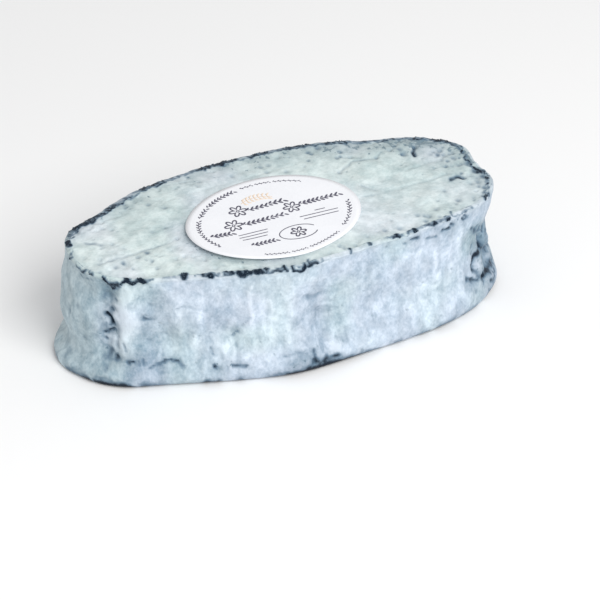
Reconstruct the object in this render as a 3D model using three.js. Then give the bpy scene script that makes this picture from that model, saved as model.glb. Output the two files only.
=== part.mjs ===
// A whole goat cheese: a long oval block with an ash and mould rind, and the oval
// paper label that lies on its top. Millimetres, +Z up, length along X. The cheese
// stands on Z = 0 and the middle of its bounding box is over the origin.
import * as THREE from "three";

// Driving dimensions of the cheese, taken along its top edge and over its rind.
const topLength = 112;
const topWidth = 50;
const height = 31.3;
const squareness = 2.33; // power of the oval: 2 is an ellipse, more is boxier
const rimRadius = { front: 0.9, back: 3.4 }; // rounding between top and side
const baseRadius = { around: 2.6, leftEnd: 1.0 }; // rounding between side and floor
const footFlare = { around: 2.9, leftEnd: 1.1 }; // how far the foot has slumped out
const footHeight = { around: 3, leftEnd: 1.6 };
const footReach = { around: 6, leftEnd: 2.7 }; // how fast the flare dies out up the side

// Driving dimensions of the label.
const labelLength = 46;
const labelWidth = 35.4;
const labelThickness = 0.35;
const labelGap = 0.3;
const labelLift = 0.5; // how far its left edge has curled up
const labelCentre = new THREE.Vector2(-5.1, -5.9);
const labelTurn = THREE.MathUtils.degToRad(7);

// How fine the faceted surfaces are.
const columns = 136;
const topRings = 9;
const sideRows = 15;
const baseRings = 3;
const labelColumns = 64;
const labelRings = 5;

// Slow swings of the oval from a true one: outward millimetres for each harmonic.
const ovalSwings = [
  { turns: 1, cos: -0.67, sin: -1.0 },
  { turns: 2, cos: -0.59, sin: 0.11 },
  { turns: 3, cos: -0.95, sin: -0.54 },
  { turns: 4, cos: 0.31, sin: 0.13 },
  { turns: 5, cos: -0.62, sin: -0.08 },
];

// Where the outline is fuller or flatter: degrees round the oval from the right end,
// reach along it, and how far out it stands at the rim and at the foot.
const outlineForms = [
  { name: "flat right end", at: 0, along: 9, rim: -1.0, foot: 0 },
  { name: "right front shoulder", at: 334, along: 9, rim: 1.2, foot: -0.5 },
  { name: "right back shoulder", at: 33, along: 10, rim: 1.1, foot: 0.4 },
  { name: "right back corner", at: 14, along: 6, rim: 1.3, foot: 0 },
  { name: "left front corner", at: 214, along: 9, rim: 1.4, foot: 1.5 },
  { name: "middle front rim", at: 262, along: 11, rim: 1.5, foot: 0 },
  { name: "middle front foot", at: 265, along: 13, rim: 0, foot: 1.7 },
  { name: "back rim", at: 80, along: 9, rim: 0.8, foot: 0 },
  { name: "flat back rim", at: 63, along: 8, rim: -0.7, foot: 0 },
  { name: "back left rim", at: 128, along: 5, rim: 0.5, foot: 0 },
  { name: "left back corner", at: 160, along: 6, rim: 0.9, foot: 0 },
  { name: "left back foot", at: 167, along: 5, rim: 0, foot: -0.85 },
  { name: "left front foot", at: 196, along: 4, rim: 0, foot: -0.7 },
];

// Folds, dimples and bulges of the side. Each has its place round the oval in
// degrees from the right end, its height, its reach along and up, and its depth,
// which is negative for a bulge.
const sideForms = [
  { name: "left corner fold", at: 209, up: 17, along: 2.6, tall: 11, deep: 1.3 },
  { name: "left corner ridge", at: 215, up: 16, along: 2.8, tall: 13, deep: -0.7 },
  { name: "full left end", at: 170, up: 17, along: 14, tall: 6, deep: -0.9 },
  { name: "left end under the rim", at: 183, up: 28, along: 11, tall: 6, deep: 1.2 },
  { name: "left end waist", at: 177, up: 12.5, along: 8, tall: 3.8, deep: -0.8 },
  { name: "upper dimple", at: 224, up: 23.5, along: 4.4, tall: 3.6, deep: 0.7 },
  { name: "lower dimple", at: 227, up: 13, along: 4.6, tall: 4.6, deep: 0.7 },
  { name: "upright ridge", at: 234, up: 16, along: 3, tall: 10, deep: -0.4 },
  { name: "wide hollow", at: 244, up: 17, along: 5, tall: 8, deep: 0.6 },
  { name: "upright rib", at: 254, up: 19, along: 2.6, tall: 10, deep: -0.5 },
  { name: "fold by the middle", at: 270, up: 12, along: 2.6, tall: 8, deep: 1.5 },
  { name: "bulge by the fold", at: 264, up: 6.5, along: 4.5, tall: 3.6, deep: -0.8 },
  { name: "hollow past the fold", at: 282, up: 12, along: 8, tall: 7, deep: 0.7 },
  { name: "swelling", at: 298, up: 13, along: 9, tall: 8, deep: -0.5 },
  { name: "waist under the right rim", at: 352, up: 20.5, along: 17, tall: 6.5, deep: 2.6 },
  { name: "right fold", at: 326, up: 17, along: 3.2, tall: 3.4, deep: 1.5 },
  { name: "right low fold", at: 333, up: 9.5, along: 3.4, tall: 2.8, deep: 1.6 },
  { name: "right end knob", at: 343, up: 12, along: 4, tall: 3, deep: -0.6 },
  { name: "far end hollow", at: 15, up: 10, along: 6, tall: 5, deep: 1.0 },
  { name: "back dimple", at: 48, up: 18, along: 6, tall: 6, deep: 0.8 },
  { name: "back fold", at: 74, up: 13, along: 2.8, tall: 9, deep: 1.2 },
  { name: "back hollow", at: 100, up: 16, along: 9, tall: 7, deep: 0.7 },
  { name: "back rib", at: 118, up: 17, along: 2.8, tall: 10, deep: -0.6 },
  { name: "back left fold", at: 143, up: 14, along: 3, tall: 8, deep: 1.1 },
];

const lumpHeight = 0.34; // of the slow unevenness of the whole skin
const cragHeight = 0.75; // of the ragged crust along the rim
const cragSeed = 7;
const topCrown = 0.5; // how much higher the middle of the top is than its ends

// The top falls away towards the back edge, beyond a Y, and most about one X.
const backSlope = { starts: 9, drop: 0.3, dropMore: 1.5, mostAt: 38, along: 10 };

const smooth = THREE.MathUtils.smoothstep;
const halfLength = topLength / 2;
const halfWidth = topWidth / 2;

// 1 at the middle of a bell, and near 0 beyond twice its reach.
const bell = (distance, reach) => Math.exp(-((distance / reach) ** 2));

// The shorter way round from one angle to the other, in radians.
const turnBetween = (a, b) => Math.atan2(Math.sin(a - b), Math.cos(a - b));

// The even oval, as a curve whose parameter runs once round from the right end.
class EvenOval extends THREE.Curve {
  getPoint(share) {
    const angle = share * Math.PI * 2;
    const grown = (v) => Math.sign(v) * Math.abs(v) ** (2 / squareness);
    const x = halfLength * grown(Math.cos(angle));
    const y = halfWidth * grown(Math.sin(angle));
    return new THREE.Vector3(x, y, 0);
  }
}

// The oval's angle at a point of it, its outward direction there, and the point.
function ovalStation(point) {
  const power = squareness - 1;
  const steep = (v, half) => (Math.sign(v) * Math.abs(v / half) ** power) / half;
  const outward = new THREE.Vector2(steep(point.x, halfLength), steep(point.y, halfWidth)).normalize();
  const stretched = (v, half) => Math.sign(v) * Math.abs(v / half) ** (squareness / 2);
  const angle = Math.atan2(stretched(point.y, halfWidth), stretched(point.x, halfLength));
  return { angle, outward, even: new THREE.Vector2(point.x, point.y) };
}

const ovalSwing = (angle) =>
  ovalSwings.reduce((sum, s) => sum + s.cos * Math.cos(s.turns * angle) + s.sin * Math.sin(s.turns * angle), 0);

// A point of the oval that is moved out by a number of millimetres.
function outsetPoint(station, outset) {
  const reach = ovalSwing(station.angle) + outset;
  return station.even.clone().addScaledVector(station.outward, reach);
}

// Slow unevenness of the side, which closes on itself round the oval.
function sideLumps(angle, up) {
  let sum = 0;
  for (let k = 2; k <= 7; k++) {
    sum += Math.sin(2 * k * angle + 1.7 * k * k) * Math.cos(0.09 * k * up + 2.3 * k) / Math.sqrt(k);
  }
  return lumpHeight * sum;
}

// Slow unevenness of the top.
function topLumps(x, y) {
  let sum = 0;
  for (let k = 1; k <= 5; k++) {
    sum += Math.sin(0.11 * k * x + 1.3 * k * k) * Math.cos(0.17 * k * y + 0.8 * k) / k;
  }
  return lumpHeight * sum;
}

// How much the named forms push the side in at a place.
function formDepth(plan, up) {
  return sideForms.reduce((sum, form) => {
    const along = plan.distanceTo(form.centre);
    return sum + form.deep * bell(along, form.along) * bell(up - form.up, form.tall);
  }, 0);
}

// How much the outline forms move it out at a place.
function outlineFullness(plan, up) {
  const rimShare = smooth(up, 4, 20);
  return outlineForms.reduce((sum, form) => {
    const out = THREE.MathUtils.lerp(form.foot, form.rim, rimShare);
    return sum + out * bell(plan.distanceTo(form.centre), form.along);
  }, 0);
}

// 1 where the rim is soft and low, at the back, and 0 where it is crisp, in front.
const rimSoftness = (angle) => smooth(Math.sin(angle), -0.2, 0.75);
const rimRadiusAt = (angle) => THREE.MathUtils.lerp(rimRadius.front, rimRadius.back, rimSoftness(angle));

// 1 at the middle of the left end, and 0 away from it.
const leftnessAt = (angle) => bell(turnBetween(angle, Math.PI), 0.6);
const baseRadiusAt = (angle) => THREE.MathUtils.lerp(baseRadius.around, baseRadius.leftEnd, leftnessAt(angle));

// How far a quarter round of a given radius draws the side in, up to its edge.
function tuck(intoRound, radius) {
  const depth = THREE.MathUtils.clamp(intoRound, 0, radius);
  return radius - Math.sqrt(radius ** 2 - depth ** 2);
}

// Outward distance of the side from the top oval, at a station and a height.
function sideOutset(station, up) {
  const leftness = leftnessAt(station.angle);
  const flare = footFlare.around + footFlare.leftEnd * leftness;
  const reach = THREE.MathUtils.lerp(footReach.around, footReach.leftEnd, leftness);
  const foot = THREE.MathUtils.lerp(footHeight.around, footHeight.leftEnd, leftness);
  const slump = flare * bell(Math.max(up - foot, 0), reach) + outlineFullness(station.even, up);
  const radius = rimRadiusAt(station.angle);
  const base = baseRadiusAt(station.angle);
  const rounded = tuck(up - (height - radius), radius) + tuck(base - up, base);
  const fade = smooth(up, 0, base) * (1 - 0.6 * smooth(up, height - 3, height));
  return slump - rounded + fade * (sideLumps(station.angle, up) - formDepth(station.even, up));
}

// The crust stands up in crags along the rim, most at the front and the right end.
function rimCrag(column, angle) {
  const craggy = Math.max(bell(turnBetween(angle, 4.3), 0.9), 0.7 * bell(turnBetween(angle, 0.2), 0.6), 0.25);
  return craggy * cragHeight * (THREE.MathUtils.seededRandom(cragSeed + column) - 0.35);
}

// Place within the label's oval, with 1 on its edge.
function labelShare(x, y) {
  const local = new THREE.Vector2(x, y).sub(labelCentre).rotateAround(new THREE.Vector2(), -labelTurn);
  return Math.hypot(local.x / (labelLength / 2), local.y / (labelWidth / 2));
}

// The top without its unevenness, which the label lies on.
function topBed(x, y) {
  const crown = topCrown * (1 - (x / halfLength) ** 2);
  const drop = backSlope.drop + backSlope.dropMore * bell(x - backSlope.mostAt, backSlope.along);
  return height - topCrown + crown - drop * smooth(y, backSlope.starts, halfWidth);
}

function topHeight(x, y) {
  const pressedFlat = smooth(labelShare(x, y), 1.0, 1.35);
  return topBed(x, y) + pressedFlat * topLumps(x, y);
}

// A closed skin of rows that run round from one spine to the other. The first and
// the last row each fold flat onto a line, where column c meets column -c.
function skinGeometry(rows) {
  const positions = [];
  const indexOf = rows.map((row, r) => {
    const spine = r === 0 || r === rows.length - 1;
    const used = spine ? columns / 2 + 1 : columns;
    const first = positions.length / 3;
    row.slice(0, used).forEach((p) => positions.push(p.x, p.y, p.z));
    return (c) => {
      const wrapped = c % columns;
      return first + (spine ? Math.min(wrapped, columns - wrapped) : wrapped);
    };
  });
  const faces = [];
  for (let r = 0; r + 1 < rows.length; r++) {
    for (let c = 0; c < columns; c++) {
      const [a, b] = [indexOf[r](c), indexOf[r](c + 1)];
      const [d, e] = [indexOf[r + 1](c), indexOf[r + 1](c + 1)];
      if (a !== b) faces.push(a, d, b);
      if (d !== e) faces.push(b, d, e);
    }
  }
  const geometry = new THREE.BufferGeometry();
  geometry.setAttribute("position", new THREE.Float32BufferAttribute(positions, 3));
  geometry.setIndex(faces);
  geometry.computeVertexNormals();
  return geometry;
}

// Heights of the side's rows at an angle, from the rim down, closer together in both rounds.
function sideHeights(angle) {
  const rim = [0.5, 0.87, 1].map((share) => height - rimRadiusAt(angle) * share);
  const low = [1.6, 1, 0.6, 0.3, 0.1, 0].map((share) => baseRadiusAt(angle) * share);
  const from = rim[rim.length - 1];
  const to = low[0];
  const between = Array.from({ length: sideRows - 1 }, (_, i) => from + ((to - from) * (i + 1)) / sideRows);
  return [...rim, ...between, ...low];
}

function buildCheese() {
  const oval = new EvenOval();
  oval.arcLengthDivisions = 2000;
  const stations = oval.getSpacedPoints(columns).slice(0, columns).map(ovalStation);
  for (const form of [...sideForms, ...outlineForms]) {
    form.centre = new THREE.Vector2().copy(oval.getPoint(form.at / 360));
  }
  const spine = stations.map((s) => (s.even.x * (halfLength - halfWidth)) / halfLength);
  const rim = stations.map((s, c) => {
    const crag = rimCrag(c, s.angle);
    const plan = outsetPoint(s, sideOutset(s, height) + 0.5 * crag);
    return new THREE.Vector3(plan.x, plan.y, topHeight(plan.x, plan.y) + crag);
  });

  const topRow = (share) =>
    rim.map((edge, c) => {
      const x = THREE.MathUtils.lerp(spine[c], edge.x, share);
      const y = edge.y * share;
      const lip = (edge.z - topHeight(edge.x, edge.y)) * smooth(share, 1 - 1.5 / topRings, 1);
      return new THREE.Vector3(x, y, topHeight(x, y) + lip);
    });
  const sideRow = (r) =>
    stations.map((s, c) => {
      const up = sideHeights(s.angle)[r];
      const plan = outsetPoint(s, sideOutset(s, up));
      // The rows near the rim follow its rise and fall, and settle lower down.
      const settle = smooth(up, height - 8, height);
      return new THREE.Vector3(plan.x, plan.y, up + settle * (rim[c].z - height));
    });
  const rows = [];
  for (let r = 0; r < topRings; r++) rows.push(topRow(r / topRings));
  rows.push(rim);
  sideHeights(0).forEach((_, r) => rows.push(sideRow(r)));
  const floorEdge = rows[rows.length - 1];
  for (let r = baseRings - 1; r >= 0; r--) {
    const share = r / baseRings;
    const at = (edge, c) => new THREE.Vector3(THREE.MathUtils.lerp(spine[c], edge.x, share), edge.y * share, 0);
    rows.push(floorEdge.map(at));
  }

  const rind = new THREE.MeshStandardMaterial({ color: 0xc4d2d8, roughness: 0.92, metalness: 0 });
  const cheese = new THREE.Mesh(skinGeometry(rows), rind);
  cheese.name = "cheese";
  return cheese;
}

// A thin oval sheet that follows the top. Both faces have the same triangles.
function buildLabel() {
  const centreTop = topBed(labelCentre.x, labelCentre.y);
  const at = (column, ring, over) => {
    const angle = (column / labelColumns) * Math.PI * 2;
    const share = ring / labelRings;
    const x = (share * labelLength * Math.cos(angle)) / 2;
    const y = (share * labelWidth * Math.sin(angle)) / 2;
    const onTop = new THREE.Vector2(x, y).rotateAround(new THREE.Vector2(), labelTurn).add(labelCentre);
    const curl = labelLift * smooth(-x, labelLength * 0.28, labelLength / 2);
    return [x, y, topBed(onTop.x, onTop.y) - centreTop + labelGap + curl + over];
  };
  const positions = [];
  const faces = [];
  const faceSize = 1 + labelRings * labelColumns;
  for (const over of [labelThickness, 0]) {
    positions.push(...at(0, 0, over));
    for (let ring = 1; ring <= labelRings; ring++) {
      for (let c = 0; c < labelColumns; c++) positions.push(...at(c, ring, over));
    }
  }
  const index = (side, ring, c) =>
    side * faceSize + (ring === 0 ? 0 : 1 + (ring - 1) * labelColumns + (c % labelColumns));
  const add = (side, a, b, c) => faces.push(...(side === 0 ? [a, b, c] : [a, c, b]));
  for (const side of [0, 1]) {
    for (let c = 0; c < labelColumns; c++) {
      add(side, index(side, 0, 0), index(side, 1, c), index(side, 1, c + 1));
      for (let ring = 1; ring < labelRings; ring++) {
        const [a, b] = [index(side, ring, c), index(side, ring, c + 1)];
        const [d, e] = [index(side, ring + 1, c), index(side, ring + 1, c + 1)];
        add(side, a, d, b);
        add(side, b, d, e);
      }
    }
  }
  for (let c = 0; c < labelColumns; c++) {
    const [a, b] = [index(0, labelRings, c), index(0, labelRings, c + 1)];
    const [d, e] = [index(1, labelRings, c), index(1, labelRings, c + 1)];
    faces.push(a, d, b, b, d, e);
  }
  const geometry = new THREE.BufferGeometry();
  geometry.setAttribute("position", new THREE.Float32BufferAttribute(positions, 3));
  geometry.setIndex(faces);
  geometry.computeVertexNormals();
  const paper = new THREE.MeshStandardMaterial({ color: 0xf2f1f3, roughness: 0.6, metalness: 0 });
  const label = new THREE.Mesh(geometry, paper);
  label.name = "label";
  label.position.set(labelCentre.x, labelCentre.y, centreTop);
  label.rotation.z = labelTurn;
  return label;
}

const part = new THREE.Group();
part.add(buildCheese(), buildLabel());

// Stand the part over the origin.
const middle = new THREE.Box3().setFromObject(part, true).getCenter(new THREE.Vector3());
part.position.set(-middle.x, -middle.y, 0);

export default part;
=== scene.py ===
# A whole goat cheese: a long oval block in a wrinkled rind of ash and pale mould, with
# the oval paper label that lies on its top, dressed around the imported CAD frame.
import math

import bpy
import numpy as np
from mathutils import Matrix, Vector


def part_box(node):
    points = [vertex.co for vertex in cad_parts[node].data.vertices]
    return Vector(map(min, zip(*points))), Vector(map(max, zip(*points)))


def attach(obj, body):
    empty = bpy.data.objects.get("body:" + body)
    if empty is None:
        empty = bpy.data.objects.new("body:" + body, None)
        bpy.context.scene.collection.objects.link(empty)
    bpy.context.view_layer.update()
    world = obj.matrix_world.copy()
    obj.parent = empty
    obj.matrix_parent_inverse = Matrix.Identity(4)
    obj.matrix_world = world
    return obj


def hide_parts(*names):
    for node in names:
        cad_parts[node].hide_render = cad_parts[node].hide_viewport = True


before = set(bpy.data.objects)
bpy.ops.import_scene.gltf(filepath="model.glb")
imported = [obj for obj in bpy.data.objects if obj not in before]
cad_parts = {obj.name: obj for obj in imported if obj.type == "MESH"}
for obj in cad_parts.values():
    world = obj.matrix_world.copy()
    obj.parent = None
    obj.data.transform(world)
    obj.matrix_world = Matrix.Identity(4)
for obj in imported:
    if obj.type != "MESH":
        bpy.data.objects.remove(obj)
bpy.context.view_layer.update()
print("frame loaded:", ", ".join(sorted(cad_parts)))

mm = 0.001

# The form, in millimetres, as in the CAD source. X and Y are counted from the middle
# of the even oval. Each side form has its place round the oval in degrees from the
# right end, its height, its reach along and up, and its depth (negative is a bulge).
cheese = {
    "halfLength": 56.0,
    "halfWidth": 25.0,
    "height": 31.3,
    "squareness": 2.33,
    "rimRadius": (0.9, 3.4),  # front, back
    "baseRadius": (2.6, 1.0),  # around, left end
    "footFlare": (2.9, 4.0),
    "footHeight": (3.0, 1.6),
    "footReach": (6.0, 2.7),
    "lumpHeight": 0.34,
    "topCrown": 0.5,
    "backSlope": {"starts": 9.0, "drop": 0.3, "dropMore": 1.5, "mostAt": 38.0, "along": 10.0},
    "swings": [
        (1, -0.67, -1.0), (2, -0.59, 0.11), (3, -0.95, -0.54), (4, 0.31, 0.13), (5, -0.62, -0.08),
    ],
    # degrees, reach, out at the rim, out at the foot
    "outline": [
        (0, 9, -1.0, 0), (334, 9, 1.2, -0.5), (33, 10, 1.1, 0.4), (14, 6, 1.3, 0), (214, 9, 1.4, 1.5),
        (262, 11, 1.5, 0), (265, 13, 0, 1.7), (80, 9, 0.8, 0), (63, 8, -0.7, 0), (128, 5, 0.5, 0),
        (160, 6, 0.9, 0), (167, 5, 0, -0.85), (196, 4, 0, -0.7),
    ],
    # degrees, up, along, tall, deep
    "sideForms": [
        (209, 17, 2.6, 11, 1.3), (215, 16, 2.8, 13, -0.7), (170, 17, 14, 6, -0.9),
        (183, 28, 11, 6, 1.2), (177, 12.5, 8, 3.8, -0.8), (224, 23.5, 4.4, 3.6, 0.7),
        (227, 13, 4.6, 4.6, 0.7), (234, 16, 3, 10, -0.4), (244, 17, 5, 8, 0.6),
        (254, 19, 2.6, 10, -0.5), (270, 12, 2.6, 8, 1.5), (264, 6.5, 4.5, 3.6, -0.8),
        (282, 12, 8, 7, 0.7), (298, 13, 9, 8, -0.5), (352, 20.5, 17, 6.5, 2.6),
        (326, 17, 3.2, 3.4, 1.5), (333, 9.5, 3.4, 2.8, 1.6), (343, 12, 4, 3, -0.6), (15, 10, 6, 5, 1),
        (48, 18, 6, 6, 0.8), (74, 13, 2.8, 9, 1.2), (100, 16, 9, 7, 0.7), (118, 17, 2.8, 10, -0.6),
        (143, 14, 3, 8, 1.1),
    ],
}

# How fine the visible skin is.
skin = {"columns": 720, "topRows": 58, "rimRows": 8, "sideRows": 60, "lowRows": 8, "baseRings": 3}

label = {
    "centre": (-5.1, -5.9),
    "halfLength": 23.0,
    "halfWidth": 17.7,
    "turn": math.radians(7),
    "thickness": 0.14,
    "lies": 0.05,  # above the pressed rind
    "curl": 0.95,  # how far its left edge has lifted
}


def bell(distance, reach):
    return np.exp(-((distance / reach) ** 2))


def smooth(value, low, high):
    share = np.clip((value - low) / (high - low), 0, 1)
    return share * share * (3 - 2 * share)


def between(pair, share):
    return pair[0] + (pair[1] - pair[0]) * share


def strongest(first, *others):
    for other in others:
        first = np.maximum(first, other)
    return first


def softNoise(points, size, seed):
    # A smooth random field from -1 to 1, with lumps of about the given size.
    scaled = points / size + 17.3 * seed
    cell = np.floor(scaled).astype(np.int64)
    part = scaled - cell
    part = part * part * (3 - 2 * part)
    total = np.zeros(points.shape[:-1])
    for corner in range(8):
        step = np.array([corner & 1, corner >> 1 & 1, corner >> 2 & 1])
        at = cell + step
        mixed = (at[..., 0] * 73856093) ^ (at[..., 1] * 19349663) ^ (at[..., 2] * 83492791)
        mixed = ((mixed ^ (mixed >> 13)) * 1274126177) & 0x7FFFFFFF
        mixed = ((mixed ^ (mixed >> 15)) * 668265263) & 0x7FFFFFFF
        weight = np.prod(np.where(step == 1, part, 1 - part), axis=-1)
        total += weight * (mixed / 0x7FFFFFFF * 2 - 1)
    return total


# The chance fields: the strength, lump size in millimetres and seed of each layer.
chance = {
    "ragged rim": [(0.55, 1.9, 3), (0.45, 0.75, 4)],
    "patchy rim": [(1, 5.0, 42)],
    "crust along": [(0.5, 1.3, 8), (0.25, 0.6, 17)],
    "crust across": [(0.5, 1.3, 14), (0.25, 0.6, 18)],
    "crust grit": [(1, 0.6, 9)],
    "crease width": [(0.55, 1.3, 15)],
    "crease shade": [(0.35, 1.7, 16)],
    "crease breaks": [(1, 3.4, 19)],
    "top wander": [(0.3, 1.6, 5)],
    "top tone": [(0.3, 6.0, 32), (0.25, 2.6, 33)],
    "top tint": [(1, 9.0, 34)],
    "top stain": [(0.4, 4.0, 36), (0.35, 1.8, 37)],
    "side wander": [(0.3, 1.5, 6), (0.16, 0.7, 7)],
    "side sway": [(1, 6.0, 40), (0.4, 2.5, 41)],
    "side tone": [(0.14, 4.5, 30)],
    "side grain": [(0.16, 2.2, 31)],
    "side tint": [(1, 8.0, 35)],
    "floor edge": [(1, 2.6, 12), (0.5, 1.0, 13)],
    "cockled paper": [(0.06, 7.0, 21)],
}


def chanceField(name, points):
    return sum(strength * softNoise(points, size, seed) for strength, size, seed in chance[name])


# The even oval and what is measured along it

def ovalPoint(turn):
    power = 2 / cheese["squareness"]
    cosine = np.cos(turn)
    sine = np.sin(turn)
    x = cheese["halfLength"] * np.sign(cosine) * np.abs(cosine) ** power
    y = cheese["halfWidth"] * np.sign(sine) * np.abs(sine) ** power
    return np.stack([x, y], axis=-1)


def ovalOutward(points):
    halves = np.array([cheese["halfLength"], cheese["halfWidth"]])
    steep = np.sign(points) * np.abs(points / halves) ** (cheese["squareness"] - 1) / halves
    return steep / np.linalg.norm(steep, axis=-1, keepdims=True)


fineTurns = np.linspace(0, 2 * math.pi, 20001)
fineSteps = np.linalg.norm(np.diff(ovalPoint(fineTurns), axis=0), axis=1)
fineRun = np.concatenate([[0], np.cumsum(fineSteps)])
ovalRun = fineRun[-1]  # length once round, in millimetres


def runAt(degrees):
    return np.interp(np.radians(np.mod(degrees, 360)), fineTurns, fineRun)


def shorterWay(distance):
    # A distance along the oval, taken the shorter way round.
    return (distance + ovalRun / 2) % ovalRun - ovalRun / 2


height = cheese["height"]
columns = skin["columns"]
columnRun = np.arange(columns) / columns * ovalRun
columnTurn = np.interp(columnRun, fineRun, fineTurns)
columnDegrees = np.degrees(columnTurn)
even = ovalPoint(columnTurn)
even[np.abs(even) < 1e-9] = 0
outward = ovalOutward(even)
swing = sum(c * np.cos(k * columnTurn) + s * np.sin(k * columnTurn) for k, c, s in cheese["swings"])


def nearTurn(turn, reach):
    # How near each column is to a turn, 1 at it and 0 far from it, both in radians.
    away = columnTurn - turn
    return bell(np.arctan2(np.sin(away), np.cos(away)), reach)


def nearDegrees(degrees, along):
    # The same by degrees, with a straight reach in millimetres.
    centre = ovalPoint(np.array(math.radians(degrees)))
    return bell(np.linalg.norm(even - centre, axis=-1), along)


softness = smooth(np.sin(columnTurn), -0.2, 0.75)  # of the rim, from the front to the back
leftness = nearTurn(math.pi, 0.6)
rimRadius = between(cheese["rimRadius"], softness)
baseRadius = between(cheese["baseRadius"], leftness)


def sideLumps(up):
    total = 0
    for k in range(2, 8):
        around = np.sin(2 * k * columnTurn + 1.7 * k * k)
        total = total + around * np.cos(0.09 * k * up + 2.3 * k) / math.sqrt(k)
    return cheese["lumpHeight"] * total


def topLumps(x, y):
    total = 0
    for k in range(1, 6):
        total = total + np.sin(0.11 * k * x + 1.3 * k * k) * np.cos(0.17 * k * y + 0.8 * k) / k
    return cheese["lumpHeight"] * total


def tuck(intoRound, radius):
    depth = np.clip(intoRound, 0, radius)
    return radius - np.sqrt(radius**2 - depth**2)


def outlineFullness(up):
    rimShare = smooth(up, 4, 20)
    total = 0
    for degrees, along, rim, foot in cheese["outline"]:
        total = total + (foot + (rim - foot) * rimShare) * nearDegrees(degrees, along)
    return total


def formDepth(up):
    total = 0
    for degrees, middle, along, tall, deep in cheese["sideForms"]:
        total = total + deep * nearDegrees(degrees, along) * bell(up - middle, tall)
    return total


def sideOutset(up):
    flare = between(cheese["footFlare"], leftness)
    reach = between(cheese["footReach"], leftness)
    foot = between(cheese["footHeight"], leftness)
    slump = flare * bell(np.maximum(up - foot, 0), reach) + outlineFullness(up)
    rounded = tuck(up - (height - rimRadius), rimRadius) + tuck(baseRadius - up, baseRadius)
    fade = smooth(up, 0, baseRadius) * (1 - 0.6 * smooth(up, height - 3, height))
    return slump - rounded + fade * (sideLumps(up) - formDepth(up))


def turned(u, v, angle):
    return u * math.cos(angle) - v * math.sin(angle), u * math.sin(angle) + v * math.cos(angle)


def labelPlace(x, y):
    # A place of the top, counted along and across the label from its middle.
    return turned(x - label["centre"][0], y - label["centre"][1], -label["turn"])


def labelShare(x, y):
    u, v = labelPlace(x, y)
    return np.hypot(u / label["halfLength"], v / label["halfWidth"])


def topBed(x, y):
    slope = cheese["backSlope"]
    crown = cheese["topCrown"] * (1 - (x / cheese["halfLength"]) ** 2)
    drop = slope["drop"] + slope["dropMore"] * bell(x - slope["mostAt"], slope["along"])
    fall = drop * smooth(y, slope["starts"], cheese["halfWidth"])
    return height - cheese["topCrown"] + crown - fall


def topHeight(x, y):
    return topBed(x, y) + smooth(labelShare(x, y), 1.0, 1.35) * topLumps(x, y)


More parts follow.
